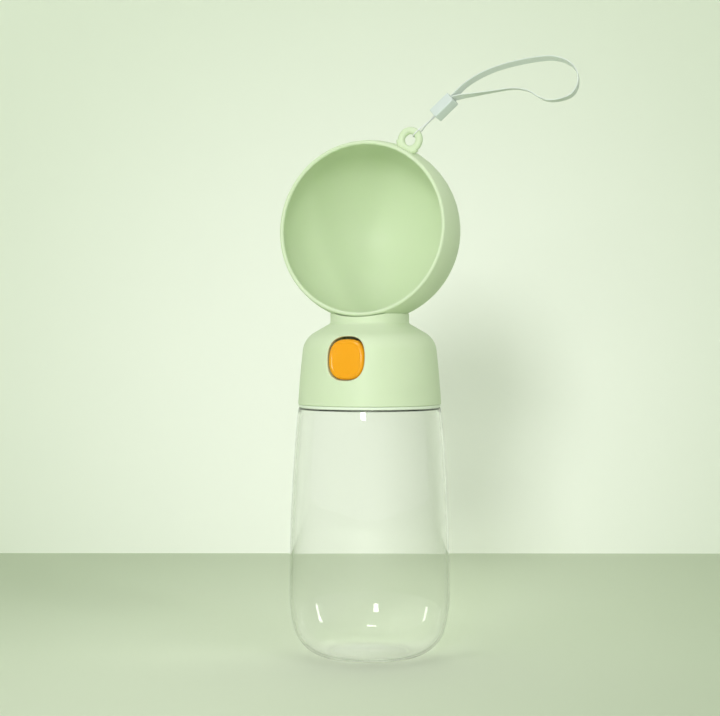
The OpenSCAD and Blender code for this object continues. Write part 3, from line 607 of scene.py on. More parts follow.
roundness = head["edgeRound"]
rings = fieldRings(outerEdge, 0, roundness, 12)
for turnAngle in np.radians(np.linspace(90, 0, 6))[1:]:
    x, z = windowOutline(outerEdge, roundness * (1 - math.cos(turnAngle)))
    rimX, rimZ = windowOutline(outerEdge, roundness)
    ring = onShell(rimX, rimZ, 0)
    rings.append(np.stack([x, ring[:, 1] + roundness * (1 - math.sin(turnAngle)), z], axis=-1))
x, z = windowOutline(outerEdge, 0)
rings.append(onShell(x, z, head["shelfDepth"]))
shelfX, shelfZ = buttonOutline(outerEdge, head["shelfGap"])
rings.append(onShell(shelfX, shelfZ, head["shelfDepth"]))
rings.append(onShell(shelfX, shelfZ, head["shelfDepth"] + head["shelfThick"]))
flangeX, flangeZ = windowOutline(outerEdge, head["shelfThick"])
rings.append(onShell(flangeX, flangeZ, head["shelfDepth"] + head["shelfThick"]))
innerRings = fieldRings(innerEdge, head["wall"], head["shelfThick"], 6)[::-1]
rings += innerRings
windowGrid = np.array(rings)
cells = gridFaces(len(shellProfile), head["columns"], True, True)
cellRow, cellColumn = np.divmod(np.arange(len(cells)), head["columns"])
signedColumn = (cellColumn + halfColumns) % head["columns"]
inField = signedColumn < 2 * halfColumns
inOuter = (cellRow >= outerRows[0]) & (cellRow < outerRows[-1])
inInner = (cellRow >= innerRows[-1]) & (cellRow < innerRows[0])
shellFaces = cells[~(inField & (inOuter | inInner))]
makePiece(
    "green_head_shell", [(shellGrid.reshape(-1, 3), shellFaces), (windowGrid, False, True)],
    greenAbs, "head", ["head_shell"], 35,
)
print("head shell made")

# the bowl: a ball shell between two circles, the mouth and the foot, joined by one grid
mouthOut = np.array([0, -math.cos(tilt), math.sin(tilt)])
mouthUp = np.array([0, math.sin(tilt), math.cos(tilt)])
across = np.array([1.0, 0, 0])
ballCentre = np.array([0, 0, ball["height"]])
midRadius = ball["radius"] - ball["wall"] / 2
lipAngle = math.asin(ball["mouthOffset"] / midRadius)


def ballDirections(rows):
    # both circles are seen in the plane that the mouth's centre projects the ball on; a Moebius map of the
    # unit disc makes them concentric, so circles between them, spaced by a constant ratio, give the rows
    mouthRadius = math.tan((math.pi / 2 + lipAngle) / 2)
    foot = math.asin(ball["footRadius"] / ball["radius"])
    lean = math.pi / 2 - tilt
    near = math.tan((lean - foot) / 2) / mouthRadius
    far = math.tan((lean + foot) / 2) / mouthRadius
    product, total = 1 + near * far, near + far
    shift = (product - math.sqrt(product ** 2 - total ** 2)) / total
    small = (far - shift) / (1 - shift * far)
    size = small ** (1 - np.linspace(0, 1, rows))[:, None]
    angle = np.linspace(0, 2 * np.pi, ball["columns"], endpoint=False)
    w = size * np.exp(1j * angle)
    flat = mouthRadius * (w + shift) / (1 + shift * w)
    polar = 2 * np.arctan(np.abs(flat))[..., None]
    around = np.angle(flat)[..., None]
    return (
        -np.cos(polar) * mouthOut
        + np.sin(polar) * (np.cos(around) * -mouthUp + np.sin(around) * across)
    )


directions = ballDirections(90)
rimDirections = directions[-1]
towardsMouth = mouthOut - (rimDirections @ mouthOut)[:, None] * rimDirections
towardsMouth /= np.linalg.norm(towardsMouth, axis=1)[:, None]
lip = [
    midRadius * rimDirections
    + ball["wall"] / 2 * (math.cos(b) * rimDirections + math.sin(b) * towardsMouth)
    for b in np.radians(np.linspace(0, 180, 13))[1:-1]
]
footAround = np.arctan2(directions[0][:, 1], directions[0][:, 0])


def footRing(radius, height):
    # a level ring round the axis whose points stand under those of the ball's lowest ring
    return np.stack([radius * np.cos(footAround), radius * np.sin(footAround), height + 0 * footAround], axis=-1)


innerBall = ball["radius"] - ball["wall"]
footRadius, drainRadius = ball["footRadius"], ball["drainRadius"]
floorRadii = np.linspace(innerBall * footRadius / ball["radius"], drainRadius + ball["drainRound"], 8)[1:]
innerFloor = [footRing(r, ball["height"] - math.sqrt(innerBall ** 2 - r ** 2)) for r in floorRadii]
drainTop = ball["height"] - math.sqrt(innerBall ** 2 - drainRadius ** 2)
footBottom = cadSize("bowl")[0][2]
boreTop = footBottom + ball["nutBoreDepth"]
drain = [footRing(r, z) for r, z in (
    (drainRadius + ball["drainEdge"], drainTop - ball["drainEdge"]), (drainRadius, drainTop - ball["drainRound"]),
    (drainRadius, boreTop), (ball["nutBore"], boreTop), (ball["nutBore"], footBottom + ball["boreEdge"]),
    (ball["nutBore"] + ball["boreEdge"], footBottom), (footRadius - ball["footEdge"], footBottom),
    (footRadius, footBottom + ball["footEdge"]),
)]
bowlGrid = np.concatenate([
    ballCentre + ball["radius"] * directions,
    ballCentre + np.array(lip),
    ballCentre + innerBall * directions[::-1],
    np.array(innerFloor),
    np.array(drain),
])
makePiece("green_bowl", [(bowlGrid, True, True)], greenAbs, "head", ["bowl"], 35)
print("bowl made")

# the eye ring: a round-edged ring about the thread's hole that runs into the bowl's wall with a hollow curve
eye = {
    "radius": 5.3, "hole": 2.3, "thick": 2.9, "round": 1.43, "reach": 40.6, "angle": 27.5, "setback": 3.3,
    "blend": 0.6, "rootReach": 5.9, "sunk": 0.6,
}
eyeTurn = math.radians(eye["angle"])
eyeOut = math.sin(eyeTurn) * across + math.cos(eyeTurn) * mouthUp
eyeSide = math.cos(eyeTurn) * across - math.sin(eyeTurn) * mouthUp
eyeLevel = ball["mouthOffset"] - eye["setback"]
eyeCentre = ballCentre + eye["reach"] * eyeOut + eyeLevel * mouthOut
wallCircle = math.sqrt(ball["radius"] ** 2 - eyeLevel ** 2)


def lugOutline(angle):
    # the ring's disc and the ball's disc as distances, joined by a smooth minimum; the outline is where that
    # is zero, found by halving
    low, high = np.full(angle.shape, eye["radius"] * 0.9), np.full(angle.shape, 24.0)
    for _ in range(40):
        r = (low + high) / 2
        x, y = r * np.cos(angle), r * np.sin(angle)
        ringGap = r - eye["radius"]
        ballGap = np.hypot(x + eye["reach"], y) - wallCircle
        mix = np.clip(0.5 + 0.5 * (ballGap - ringGap) / eye["blend"], 0, 1)
        gap = ballGap + (ringGap - ballGap) * mix - eye["blend"] * mix * (1 - mix)
        low, high = np.where(gap < 0, r, low), np.where(gap < 0, high, r)
    inWall = wallCircle - ball["wall"] * eye["sunk"]
    b = eye["reach"] * np.cos(angle)
    sunk = -b - np.sqrt(np.maximum(b ** 2 - eye["reach"] ** 2 + inWall ** 2, 0))
    reaches = (b < 0) & (b ** 2 > eye["reach"] ** 2 - inWall ** 2)
    return np.minimum(np.where(reaches, np.minimum(low, sunk), low), eye["rootReach"])


angle = np.linspace(0, 2 * np.pi, 192, endpoint=False)
outline = lugOutline(angle)
half, soft = eye["thick"] / 2, eye["round"]
section = []
for t in np.radians(np.linspace(0, 90, 10)):
    section.append((outline - soft + soft * math.cos(t), half - soft + soft * math.sin(t)))
for t in np.radians(np.linspace(90, 180, 10)):
    section.append((eye["hole"] + soft + soft * math.cos(t) + 0 * outline, half - soft + soft * math.sin(t)))
section += [(r, -h) for r, h in section[::-1]]
lugGrid = np.array([
    eyeCentre + (r * np.cos(angle))[:, None] * eyeOut + (r * np.sin(angle))[:, None] * eyeSide + h * mouthOut
    for r, h in section
])
makePiece("bowl_eye_ring", [(lugGrid, True, True)], greenAbs, "head", (), 40)
print("eye ring made")

# the button: squircle rings from the open back over a rounded edge to the domed face, and hollow behind
button = {
    "dome": 60.0, "domeHeight": 118.0, "recess": 0.6, "round": 1.3, "dish": 0.17, "dishInset": 0.55,
    "wall": 1.6, "depth": 6.3, "backEdge": 0.25, "innerEdge": 0.4, "columns": 160,
    "wingRoot": 0.8, "wingReach": 1.8, "wingThick": 1.4, "wingTall": 9.0,
    "bossBore": 1.55, "bossRadius": 3.0, "bossLength": 4.0, "bossSunk": 0.5, "bossRounds": (0, 0, 0.3, 0.2),
}
shellFront = float(shellRadius(head["windowCentre"], 0))
domeCentre = button["dome"] - shellFront + button["recess"]


def squircle(wide, tall):
    # the same outline as the window's, as points round it
    t = np.linspace(0, 2 * np.pi, button["columns"], endpoint=False)
    e = 2 / head["squareness"]
    return (
        wide / 2 * np.sign(np.cos(t)) * np.abs(np.cos(t)) ** e,
        buttonCentre + tall / 2 * np.sign(np.sin(t)) * np.abs(np.sin(t)) ** e,
    )


def domeFace(x, z):
    # depth of the button's face: a ball of the dome's radius, recessed behind the shell's front
    return domeCentre - np.sqrt(button["dome"] ** 2 - x ** 2 - (z - button["domeHeight"]) ** 2)


def skinRing(inset, back):
    # the outline set in, laid on the dome and moved back
    x, z = squircle(buttonWide - 2 * inset, buttonTall - 2 * inset)
    return np.stack([x, domeFace(x, z) + back, z], axis=-1)


def flatRing(inset, y):
    # the outline set in, at one depth
    x, z = squircle(buttonWide - 2 * inset, buttonTall - 2 * inset)
    return np.stack([x, y + 0 * x, z], axis=-1)


skirt = button["depth"] - shellFront
hollow = float(domeFace(0.0, buttonCentre)) + button["round"] + button["wall"]
backEdge, innerEdge = button["backEdge"], button["innerEdge"]
buttonRings = [flatRing(backEdge, skirt), flatRing(0, skirt - backEdge), skinRing(0, button["round"] + 0.3)]
buttonRings += [
    skinRing(button["round"] * (1 - math.cos(t)), button["round"] * (1 - math.sin(t)))
    for t in np.radians(np.linspace(0, 90, 10))
]
buttonRings += [
    skinRing(button["round"] + inset, button["dish"] * share)
    for inset, share in ((0.1, 0.04), (0.2, 0.3), (0.3, 0.7), (0.42, 0.97), (button["dishInset"], 1.0))
]
faceWide, faceTall = (size - 2 * (button["round"] + button["dishInset"]) for size in (buttonWide, buttonTall))
for share in (0.93, 0.8, 0.66, 0.5, 0.33, 0.16, 0.0):
    x, z = squircle(faceWide * share, faceTall * share)
    buttonRings.append(np.stack([x, domeFace(x, z) + button["dish"], z], axis=-1))
backRings = [
    flatRing(button["wall"] - backEdge, skirt), flatRing(button["wall"], skirt - backEdge),
    flatRing(button["wall"], hollow + innerEdge), flatRing(button["wall"] + innerEdge, hollow),
]
hollowWide, hollowTall = (size - 2 * (button["wall"] + innerEdge) for size in (buttonWide, buttonTall))
for share in (0.66, 0.33, 0.0):
    x, z = squircle(hollowWide * share, hollowTall * share)
    backRings.append(np.stack([x, hollow + 0 * x, z], axis=-1))
rodLow, rodHigh = cadSize("push_rod")
valveHeight = (rodLow[2] + rodHigh[2]) / 2
boss = ringSection(
    button["bossBore"], button["bossRadius"], hollow - button["bossSunk"], rodLow[1] + button["bossLength"],
    button["bossRounds"], 4, 1.0,
)
bossGrid = turned(boss, 64)
bossGrid = np.stack([bossGrid[..., 0], bossGrid[..., 2], valveHeight + bossGrid[..., 1]], axis=-1)


def softBlock(low, high, power=8):
    # a block with soft edges: the ball's directions pushed out to a superellipsoid of high power
    up, around = np.linspace(-np.pi / 2, np.pi / 2, 33), np.linspace(0, 2 * np.pi, 64, endpoint=False)
    u, v = np.meshgrid(up, around, indexing="ij")
    d = np.stack([np.cos(u) * np.cos(v), np.cos(u) * np.sin(v), np.sin(u)], axis=-1)
    size = np.sum(np.abs(d) ** power, axis=-1, keepdims=True) ** (-1 / power)
    low, high = np.array(low), np.array(high)
    return (low + high) / 2 + d * size * (high - low) / 2


wings = []
for side in (-1, 1):
    root, tip = side * (buttonWide / 2 - button["wingRoot"]), side * (buttonWide / 2 + button["wingReach"])
    lowCorner = (min(root, tip), skirt - button["wingThick"], valveHeight - button["wingTall"] / 2)
    highCorner = (max(root, tip), skirt, valveHeight + button["wingTall"] / 2)
    wings.append((softBlock(lowCorner, highCorner), False, True))
buttonSkins = [buttonRings, backRings, [buttonRings[0], backRings[0]]]
makePiece(
    "orange_button", [(np.array(skin), False, True) for skin in buttonSkins],
    orangeAbs, "push_button", ["button"], 40,
)
makePiece(
    "button_boss_and_wings", [(bossGrid, True, True)] + wings,
    orangeAbs, "push_button", (), 40,
)
print("button made")

# seam ring, and the cap's screw thread; the valve inside the head keeps its own shapes
seam = {"gapAbove": 0.06, "gapBelow": 0.08, "deep": 6.0, "round": 0.2}
seamSection = ringSection(
    seamHigh[0] - seam["deep"], seamHigh[0], shoulderHeight + seam["gapBelow"], headBase - seam["gapAbove"],
    [0, seam["round"], seam["round"], 0], 5, 1.5,
)
makePiece(
    "pale_seam_ring", [(turned(seamSection, 256), True, True)],
    palePp, "shoulder_ring", ["seam_ring"],
)
cap = {"threadRise": 1.9, "threadTurn": 2.2, "clearance": 0.8}
threadLow = seamHigh[2] + cap["threadRise"]
turnAngle = np.radians(np.linspace(0, 360 * bottle["threadTurns"], 300))
fade = np.clip(np.minimum(turnAngle, turnAngle[::-1]) / math.radians(bottle["threadFade"]), 0.02, 1)
ridge = [(0.15, -0.8), (-0.1, -0.55), (-0.5, -0.25), (-0.5, 0.25), (-0.1, 0.55), (0.15, 0.8)]
capWall = neckRadius + cap["clearance"]
around = turnAngle + cap["threadTurn"]
threadGrid = np.array([
    np.stack([
        (capWall + out * fade) * np.cos(around), (capWall + out * fade) * np.sin(around),
        threadLow + rise + bottle["threadPitch"] * turnAngle / (2 * np.pi),
    ], axis=-1)
    for out, rise in ridge
])
makePiece("cap_thread", [(threadGrid, True, False)], whitePp, "head")
# the mouth's gasket lies inside the cap's thread, so that the thread passes it when the head is screwed off
gasket = {"wide": 2.4, "insideThread": 0.15, "round": 0.3}
gasketRadius = capWall + min(out for out, rise in ridge) - gasket["insideThread"]
gasketSection = ringSection(
    gasketRadius - gasket["wide"], gasketRadius, gasketLow[2], gasketHigh[2], [gasket["round"]] * 4, 4, 1.0
)
makePiece(
    "mouth_gasket_ring", [(turned(gasketSection, 192), True, True)],
    silicone, "mouth_seal", ["mouth_gasket"],
)
kept = {
    "inner_cap": whitePp, "valve_body": whitePp, "valve_end_plug": whitePp,
    "inlet_seal": silicone, "valve_screws": stainless, "push_rod": stainless, "rod_seal": nitrile,
    "valve_plug": silicone, "return_spring": stainless, "outlet_tube": silicone, "bowl_gasket": silicone,
    "bowl_nut": whitePp,
}
for name, material in kept.items():
    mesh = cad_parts[name].data
    mesh.materials.clear()
    mesh.materials.append(material)
print("seam ring, thread, gasket and valve made")

# the wrist strap hangs on the eye ring; its places are x along the ring's plane, y up in it, z out of it

def strapPoint(places):
    # a place as the eye ring's centre plus so much across, up and out
    places = np.asarray(places, float)
    return eyeCentre + places @ np.array([across, mouthUp, mouthOut])


def smoothRoute(route, steps):
    # Catmull-Rom curve through the route, columns beyond the place carried along
    p = np.asarray(route, float)
    p = np.vstack([p[:1], p, p[-1:]])
    t = (np.arange(steps) / steps)[None, :, None]
    a, b, c, d = (p[k:len(p) - 3 + k][:, None, :] for k in range(4))
    curve = 0.5 * (2 * b + (c - a) * t + (2 * a - 5 * b + 4 * c - d) * t ** 2 + (3 * b - a - 3 * c + d) * t ** 3)
    return np.vstack([curve.reshape(-1, p.shape[1]), p[-1:]])


def lengthAlong(path):
    # the distance run along a path at each of its points: the sum of the steps so far
    return np.concatenate([[0], np.cumsum(np.linalg.norm(np.diff(path, axis=0), axis=1))])


slider = {
    "angle": 42.5, "start": 14.0, "length": 10.0, "side": 4.9, "roll": 20.0,
    "slotWide": 3.8, "slotTall": 1.8, "slotRound": 0.15, "slotCorner": 0.3, "round": 0.4, "corner": 0.55,
}
ribbon = {
    "wide": 3.6, "thick": 0.55, "shift": 0.45, "inside": 5.0, "outside": 0.4, "steps": 10, "sides": 40,
    "widePower": 0.55, "thickPower": 0.4, "edgeSwell": 0.14, "edgeFrom": 0.72, "edgeOver": 0.12,
}
ribbonRoute = [
    (22.4, 21, 16), (27.5, 24.2, 18), (32.8, 26.5, 18), (38.1, 28.1, 19), (43.3, 29.2, 20),
    (48.5, 30, 21), (53.6, 30.5, 21), (58.6, 30.5, 20), (63.4, 29.2, 17), (67, 26.9, 14),
    (68.9, 23.9, 10), (69.3, 20.6, 6), (68.5, 17.6, -2), (66.6, 15.3, -5), (63.4, 14, -5),
    (60, 13.5, -4), (57, 13.7, -3), (53.4, 15.2, -2), (50.1, 17.4, 0), (46.4, 18.6, 1),
    (42.2, 19, 2), (35.4, 18.4, 0), (27.6, 17.5, -8),
]
lift = np.array([0, 0, 1.0])
sliderLong = np.array([math.cos(math.radians(slider["angle"])), math.sin(math.radians(slider["angle"])), 0])
roll = math.radians(slider["roll"])
sliderWide = math.cos(roll) * lift + math.sin(roll) * np.cross(lift, sliderLong)
sliderFace = np.cross(sliderLong, sliderWide)
sliderEnd = slider["start"] + slider["length"]


def slotPlace(distance, shift, rollHere):
    # a place in the slider's slot, so far along it and so far from its middle, with the ribbon's roll
    place = distance * sliderLong + shift * sliderFace
    return (place[0], place[1], rollHere, place[2])


deepPlace, mouthPlace = sliderEnd - ribbon["inside"], sliderEnd + ribbon["outside"]
lead = [slotPlace(place, -ribbon["shift"], slider["roll"]) for place in (deepPlace, mouthPlace)]
back = [slotPlace(place, ribbon["shift"], -slider["roll"]) for place in (mouthPlace, deepPlace)]
route = smoothRoute(lead + [(x, y, turnHere, 0) for x, y, turnHere in ribbonRoute] + back, ribbon["steps"])
line, rolls = route[:, [0, 1, 3]], np.radians(route[:, 2])[:, None]
ahead = np.gradient(line, axis=0)
ahead /= np.linalg.norm(ahead, axis=1)[:, None]
wideWay = np.cos(rolls) * lift + np.sin(rolls) * np.cross(lift, ahead)
faceWay = np.cross(ahead, wideWay)
# section: a flat band, as a nearly square superellipse, that swells towards its thicker woven edges
turnAngle = np.linspace(0, 2 * np.pi, ribbon["sides"], endpoint=False)
u = np.sign(np.cos(turnAngle)) * np.abs(np.cos(turnAngle)) ** ribbon["widePower"]
v = np.sign(np.sin(turnAngle)) * np.abs(np.sin(turnAngle)) ** ribbon["thickPower"]
atEdge = np.clip((np.abs(u) - ribbon["edgeFrom"]) / ribbon["edgeOver"], 0, 1)
swell = 1 - ribbon["edgeSwell"] + ribbon["edgeSwell"] * atEdge
section = np.column_stack([ribbon["wide"] / 2 * u, ribbon["thick"] / 2 * v * swell])
rings = line[:, None] + section[None, :, :1] * wideWay[:, None] + section[None, :, 1:] * faceWay[:, None]


def closedEnds(rings, line):
    # the first and the last ring shrink to the line's own ends
    ends = [np.broadcast_to(end[None, None], rings[:1].shape) for end in (line[0], line[-1])]
    return np.concatenate([ends[0], rings, ends[1]])


rings = closedEnds(rings, line)
run = lengthAlong(line)
run = np.concatenate([run[:1], run, run[-1:]])
laid = np.stack(np.broadcast_arrays(run[:, None], section[None, :, 0], section[None, :, 1]), axis=-1)


def wovenRibbon(name, look):
    # woven polyester tape: warp ribs across, weft along, worked from the length and width laid on the points; the
    # weave's low parts take the shade colour, painted shade in its hollows
    material, tree = newMaterial(name)
    place = addNode(tree, "ShaderNodeAttribute", attribute_name="laid").outputs["Vector"]
    parts = addNode(tree, "ShaderNodeSeparateXYZ", links={0: place}).outputs
    waves = []
    for part, pitch in ((parts[0], look["pitchAlong"]), (parts[1], look["pitchAcross"])):
        phase = addNode(tree, "ShaderNodeMath", {1: 2 * math.pi / pitch}, {0: part}, operation="MULTIPLY").outputs[0]
        waves.append(addNode(tree, "ShaderNodeMath", links={0: phase}, operation="SINE").outputs[0])
    weave = addNode(tree, "ShaderNodeMath", links={0: waves[0], 1: waves[1]}, operation="MULTIPLY").outputs[0]
    high = addNode(tree, "ShaderNodeMapRange", {1: -1.0, 2: 1.0}, {0: weave}).outputs[0]
    # painted shade: where the weave dips, the colour goes to the darker shade colour
    colour = addNode(
        tree, "ShaderNodeMix", {6: linear(look["shade"]), 7: linear(look["colour"])}, {0: high}, data_type="RGBA"
    ).outputs[2]
    bump = addNode(
        tree, "ShaderNodeBump", {"Strength": 0.7, "Distance": look["depth"] * mm}, {"Height": high}
    ).outputs[0]
    shader = addNode(
        tree, "ShaderNodeBsdfPrincipled",
        {"Roughness": look["rough"], "Sheen Weight": 0.25, "Sheen Roughness": 0.5, "Anisotropic": 0.3},
        {"Base Color": colour, "Normal": bump},
    ).outputs[0]
    finishSurface(tree, shader)
    return material


polyester = wovenRibbon("woven_polyester", {
    "colour": "#E6ECE9", "shade": "#CAD2CD", "pitchAlong": 0.5, "pitchAcross": 0.45, "depth": 0.05, "rough": 0.55,
})
nylon = wovenRibbon("twisted_nylon", {
    "colour": "#F2F3F6", "shade": "#DFE2E6", "pitchAlong": 0.22, "pitchAcross": 0.2, "depth": 0.03, "rough": 0.5,
})


def tubeOnStrap(rings):
    # a closed tube: its first and last rings have shrunk to one point, kept as a tight cap
    return [(strapPoint(rings.reshape(-1, 3)), gridFaces(*rings.shape[:2], False, True))]


ribbonPiece = makePiece(
    "wrist_ribbon", tubeOnStrap(rings), polyester, "strap", ["wrist_strap"], 50, laid
)

# the thread: three strands twisted round its route, as a lobed section that turns along the length
thread = {
    "radius": 0.24, "in": 3.5, "spread": 0.8, "twist": 2.6, "lobes": 3, "lobeDepth": 0.16, "steps": 16, "sides": 30,
}
# from the slider round the ring and back: how far along the slider's line, and how far to its side
threadRoute = [
    (12, 0.5), (10, 0.5), (8, 0.8), (6, 1.5), (4.6, 1.75), (3.3, 1.75), (2.3, 1.3),
    (2, 0.5), (2, -0.5), (2.3, -1.3), (3.3, -1.75), (4.6, -1.75), (6, -1.5),
    (8, -0.8), (10, -0.5), (12, -0.5),
]
threadEnds = [
    (slider["start"] + thread["in"]) * sliderLong + side * thread["spread"] * sliderWide for side in (1, -1)
]
threadLine = smoothRoute(
    [threadEnds[0]] + [along * sliderLong + out * lift for along, out in threadRoute] + [threadEnds[1]],
    thread["steps"],
)
ahead = np.gradient(threadLine, axis=0)
ahead /= np.linalg.norm(ahead, axis=1)[:, None]
sideWay = np.broadcast_to(np.cross(sliderLong, lift), ahead.shape)
overWay = np.cross(ahead, sideWay)
turnAngle = np.linspace(0, 2 * np.pi, thread["sides"], endpoint=False)
run = lengthAlong(threadLine)
spin = 2 * np.pi * run[:, None] / thread["twist"]
groove = thread["lobeDepth"]
lobe = thread["radius"] * (1 - groove + groove * np.abs(np.cos(thread["lobes"] / 2 * (turnAngle - spin))))
rings = threadLine[:, None] + (lobe * np.cos(turnAngle))[..., None] * sideWay[:, None]
rings = rings + (lobe * np.sin(turnAngle))[..., None] * overWay[:, None]
rings = closedEnds(rings, threadLine)
run = np.concatenate([run[:1], run, run[-1:]])
laid = np.stack(np.broadcast_arrays(run[:, None], thread["radius"] * turnAngle[None, :], 0 * run[:, None]), axis=-1)
threadPiece = makePiece(
    "ring_thread", tubeOnStrap(rings), nylon, "strap", ["strap_thread"], 50, laid
)


def sliderRing(distance, wide, tall, radius):
    # a rounded rectangle across the slider, so far along it
    corners = [(-wide / 2, -tall / 2), (wide / 2, -tall / 2), (wide / 2, tall / 2), (-wide / 2, tall / 2)]
    o = softCorners(corners, [radius] * 4, 6)
    return (slider["start"] + distance) * sliderLong + o[:, :1] * sliderWide + o[:, 1:] * sliderFace


# rings along the outside, with a rounded edge at both ends, and back along the slot
side, soft, length = slider["side"], slider["round"], slider["length"]
edges = [(soft * (1 - math.cos(t)), soft * (1 - math.sin(t))) for t in np.radians(np.linspace(0, 90, 6))]
outsideRings = edges + [(length - d, inset) for d, inset in edges[::-1]]
rings = [
    sliderRing(d, side - 2 * inset, side - 2 * inset, slider["corner"] - 0.5 * inset) for d, inset in outsideRings
]
slotRound, slotHalf = slider["slotRound"], 0.05
slotEdges = [(0, slotRound), (slotHalf, slotHalf), (slotRound, 0)]
for d, grow in slotEdges + [(length - d, grow) for d, grow in slotEdges[::-1]]:
    wide, tall = slider["slotWide"] + 2 * grow, slider["slotTall"] + 2 * grow
    rings.append(sliderRing(length - d, wide, tall, slider["slotCorner"] + grow))
sliderPiece = makePiece(
    "ribbon_slider", [(strapPoint(np.array(rings)), True, True)], sliderPlastic, "strap",
    ["strap_slider"], 40,
)

# the setting: a pale floor and a pale wall square to the view, both painted with a pool of light that falls off into
# painted shade, soft lights and the windows that the gloss shows

def stagePlane(name, corners, material):
    # one flat board of the setting
    mesh = bpy.data.meshes.new(name)
    mesh.from_pydata((np.array(corners) * mm).tolist(), [], [(0, 1, 2, 3)])
    mesh.materials.append(material)
    plane = bpy.data.objects.new(name, mesh)
    bpy.context.scene.collection.objects.link(plane)
    return plane


def boardWithPaintedLight(name, look, seeThrough):
    # board with a dead matt skin, its colour painted lighter round one centre: a painted pool of light that falls
    # off into painted shade towards the edge colour; the wall can be looked through from behind
    material, tree = newMaterial(name)
    place = addNode(tree, "ShaderNodeTexCoord").outputs["Object"]
    around = addNode(
        tree, "ShaderNodeMapping",
        {
            "Location": tuple(c * mm for c in look["lightPoolCentre"]),
            "Rotation": (0.0, 0.0, look["turn"]),
            "Scale": (1.0, look["stretch"], 1.0),
        },
        {"Vector": place}, vector_type="TEXTURE",
    ).outputs[0]
    away = addNode(tree, "ShaderNodeVectorMath", links={0: around}, operation="LENGTH").outputs["Value"]
    fade = addNode(
        tree, "ShaderNodeMapRange", {1: look["near"] * mm, 2: look["far"] * mm}, {0: away},
        interpolation_type="SMOOTHSTEP",
    ).outputs[0]
    # painted pool of light: the centre colour near the centre, blending into the darker edge colour, painted shade,
    # further away
    colour = addNode(
        tree, "ShaderNodeMix", {6: linear(look["colour"]), 7: linear(look["edge"])}, {0: fade}, data_type="RGBA"
    ).outputs[2]
    cloud = addNode(tree, "ShaderNodeTexNoise", {"Scale": 4.0, "Detail": 1.0}, {"Vector": place}).outputs["Fac"]
    rough = addNode(tree, "ShaderNodeMapRange", {3: 0.75, 4: 0.9}, {0: cloud}).outputs[0]
    shader = addNode(
        tree, "ShaderNodeBsdfPrincipled", {"Specular IOR Level": 0.2}, {"Base Color": colour, "Roughness": rough}
    ).outputs[0]
    if seeThrough:
        clearWay = addNode(tree, "ShaderNodeBsdfTransparent").outputs[0]
        behind = addNode(tree, "ShaderNodeNewGeometry").outputs["Backfacing"]
        shader = addNode(tree, "ShaderNodeMixShader", links={0: behind, 1: shader, 2: clearWay}).outputs[0]
    finishSurface(tree, shader)
    return material


stage = {"wallBehind": 331.0, "halfWide": 2200.0, "floorAhead": 2200.0, "floorBehind": 900.0, "wallTall": 2400.0}
wallMiddle = -towardsCamera * stage["wallBehind"]
wallLeft, wallRight = (wallMiddle + side * stage["halfWide"] * cameraRight for side in (-1, 1))
front = towardsCamera * stage["floorAhead"]
# the floor is painted lighter round the bottle and darker towards the back and the sides: painted shade in place of
# the lamps' falloff and the soft shadows on the floor
stagePlane("floor", [
    wallLeft + front + towardsCamera * stage["wallBehind"], wallRight + front + towardsCamera * stage["wallBehind"],
    wallRight - towardsCamera * stage["floorBehind"], wallLeft - towardsCamera * stage["floorBehind"],
], boardWithPaintedLight("floor_board_painted_light", {
    "colour": "#E3EBD7", "edge": "#C4CFB7", "near": 0.0, "far": 268.1,
    "lightPoolCentre": tuple(cameraRight * -36 - towardsCamera * 1), "turn": turn + math.radians(-17.2), "stretch": 2.11,
}, False))
up = np.array([0, 0, stage["wallTall"]])
# the wall is painted lighter round a spot behind the object and darker towards its sides: a painted pool of light
stagePlane("wall", [wallLeft, wallRight, wallRight + up, wallLeft + up], boardWithPaintedLight("wall_board_painted_light", {
    "colour": "#F8FBF3", "edge": "#DFE7D6", "near": 60.0, "far": 330.0, "turn": 0.0, "stretch": 1.0,
    "lightPoolCentre": tuple(wallMiddle + cameraRight * 14 + [0, 0, 82]),
}, True))


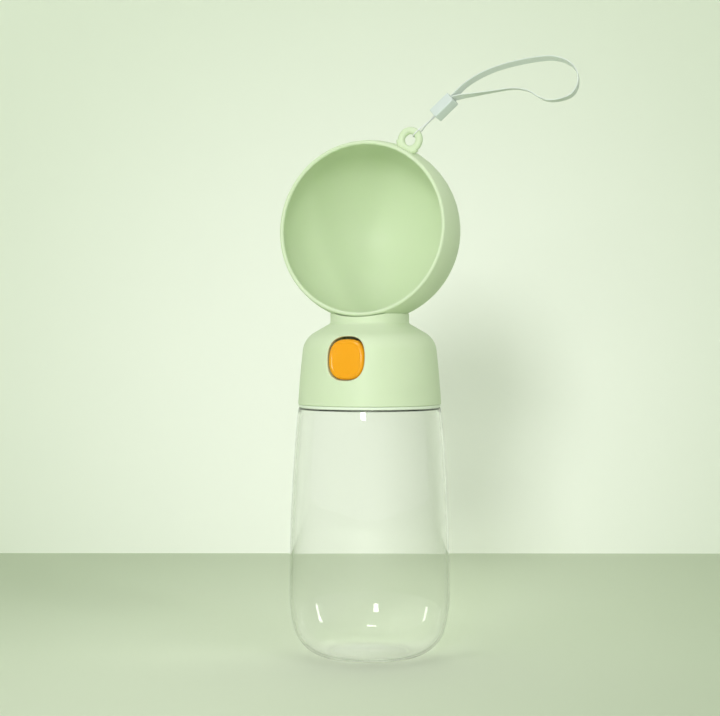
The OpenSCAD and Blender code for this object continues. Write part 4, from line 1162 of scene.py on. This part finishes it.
def addLight(
    name, azimuth, elevation, distance, size, watts, inDiffuse=True, inGloss=True, target=(0, 0, 110), spread=180
):
    # a soft rectangular light seen from the bottle at this azimuth, left of the camera being negative
    a, e = math.radians(azimuth), math.radians(elevation)
    way = math.cos(e) * (math.cos(a) * towardsCamera + math.sin(a) * cameraRight) + math.sin(e) * np.array([0, 0, 1])
    data = bpy.data.lights.new(name, "AREA")
    data.shape = "RECTANGLE"
    data.size, data.size_y = size[0] * mm, size[1] * mm
    data.energy = watts
    data.spread = math.radians(spread)
    light = bpy.data.objects.new(name, data)
    light.visible_diffuse = inDiffuse
    light.visible_glossy = light.visible_transmission = inGloss
    light.location = (np.array(target) + way * distance) * mm
    toLight = light.location - type(light.location)(np.array(target) * mm)
    light.rotation_euler = toLight.to_track_quat("Z", "Y").to_euler()
    bpy.context.scene.collection.objects.link(light)
    return light


addLight("soft_key", -10.2, 15.6, 1500, (223, 252), 9.5, inGloss=False)
addLight("key_window", -10.2, 12.1, 1500, (192, 216), 6.6, inDiffuse=False)
addLight("left_soft", -50, 10, 1300, (150, 170), 2.0, inGloss=False)
addLight("right_soft", 41, 28, 1300, (110, 160), 1.6, inGloss=False)
addLight("top_soft", 0, 82, 1300, (900, 900), 1.5, inGloss=False)
addLight("left_strip", -100, 16.4, 3128, (190, 540), 4.1, inDiffuse=False)
addLight("right_strip", 90, 16.4, 3128, (190, 540), 4.1, inDiffuse=False)
addLight("overhead_window", -5, 57, 1500, (340, 220), 4.3, inDiffuse=False)
# two small strips behind honeycomb grids reach only the bottle's foot
leftSpot = cameraRight * 23.8 - towardsCamera * 21.0 + [0, 0, 14]
rightSpot = cameraRight * -22.5 - towardsCamera * 22.5 + [0, 0, 14]
addLight("left_foot_strip", -100, 9, 324, (12.5, 53), 0.0009, inDiffuse=False, target=leftSpot, spread=14)
addLight("right_foot_strip", 90, 9, 324, (12.5, 53), 0.0009, inDiffuse=False, target=rightSpot, spread=14)
world = bpy.data.worlds.new("pale_room")
bpy.context.scene.world = world
world.use_nodes = True
tree = world.node_tree
tree.nodes.clear()
room = {"colour": "#EEF5E6", "strength": 0.545, "throughBottle": 0.78}
through = addNode(tree, "ShaderNodeLightPath").outputs["Is Transmission Ray"]
strength = addNode(
    tree, "ShaderNodeMapRange", {3: room["strength"], 4: room["throughBottle"]}, {0: through}
).outputs[0]
glow = addNode(
    tree, "ShaderNodeBackground", {"Color": linear(room["colour"])}, {"Strength": strength}
).outputs[0]
addNode(tree, "ShaderNodeOutputWorld", links={"Surface": glow})
print("setting made")
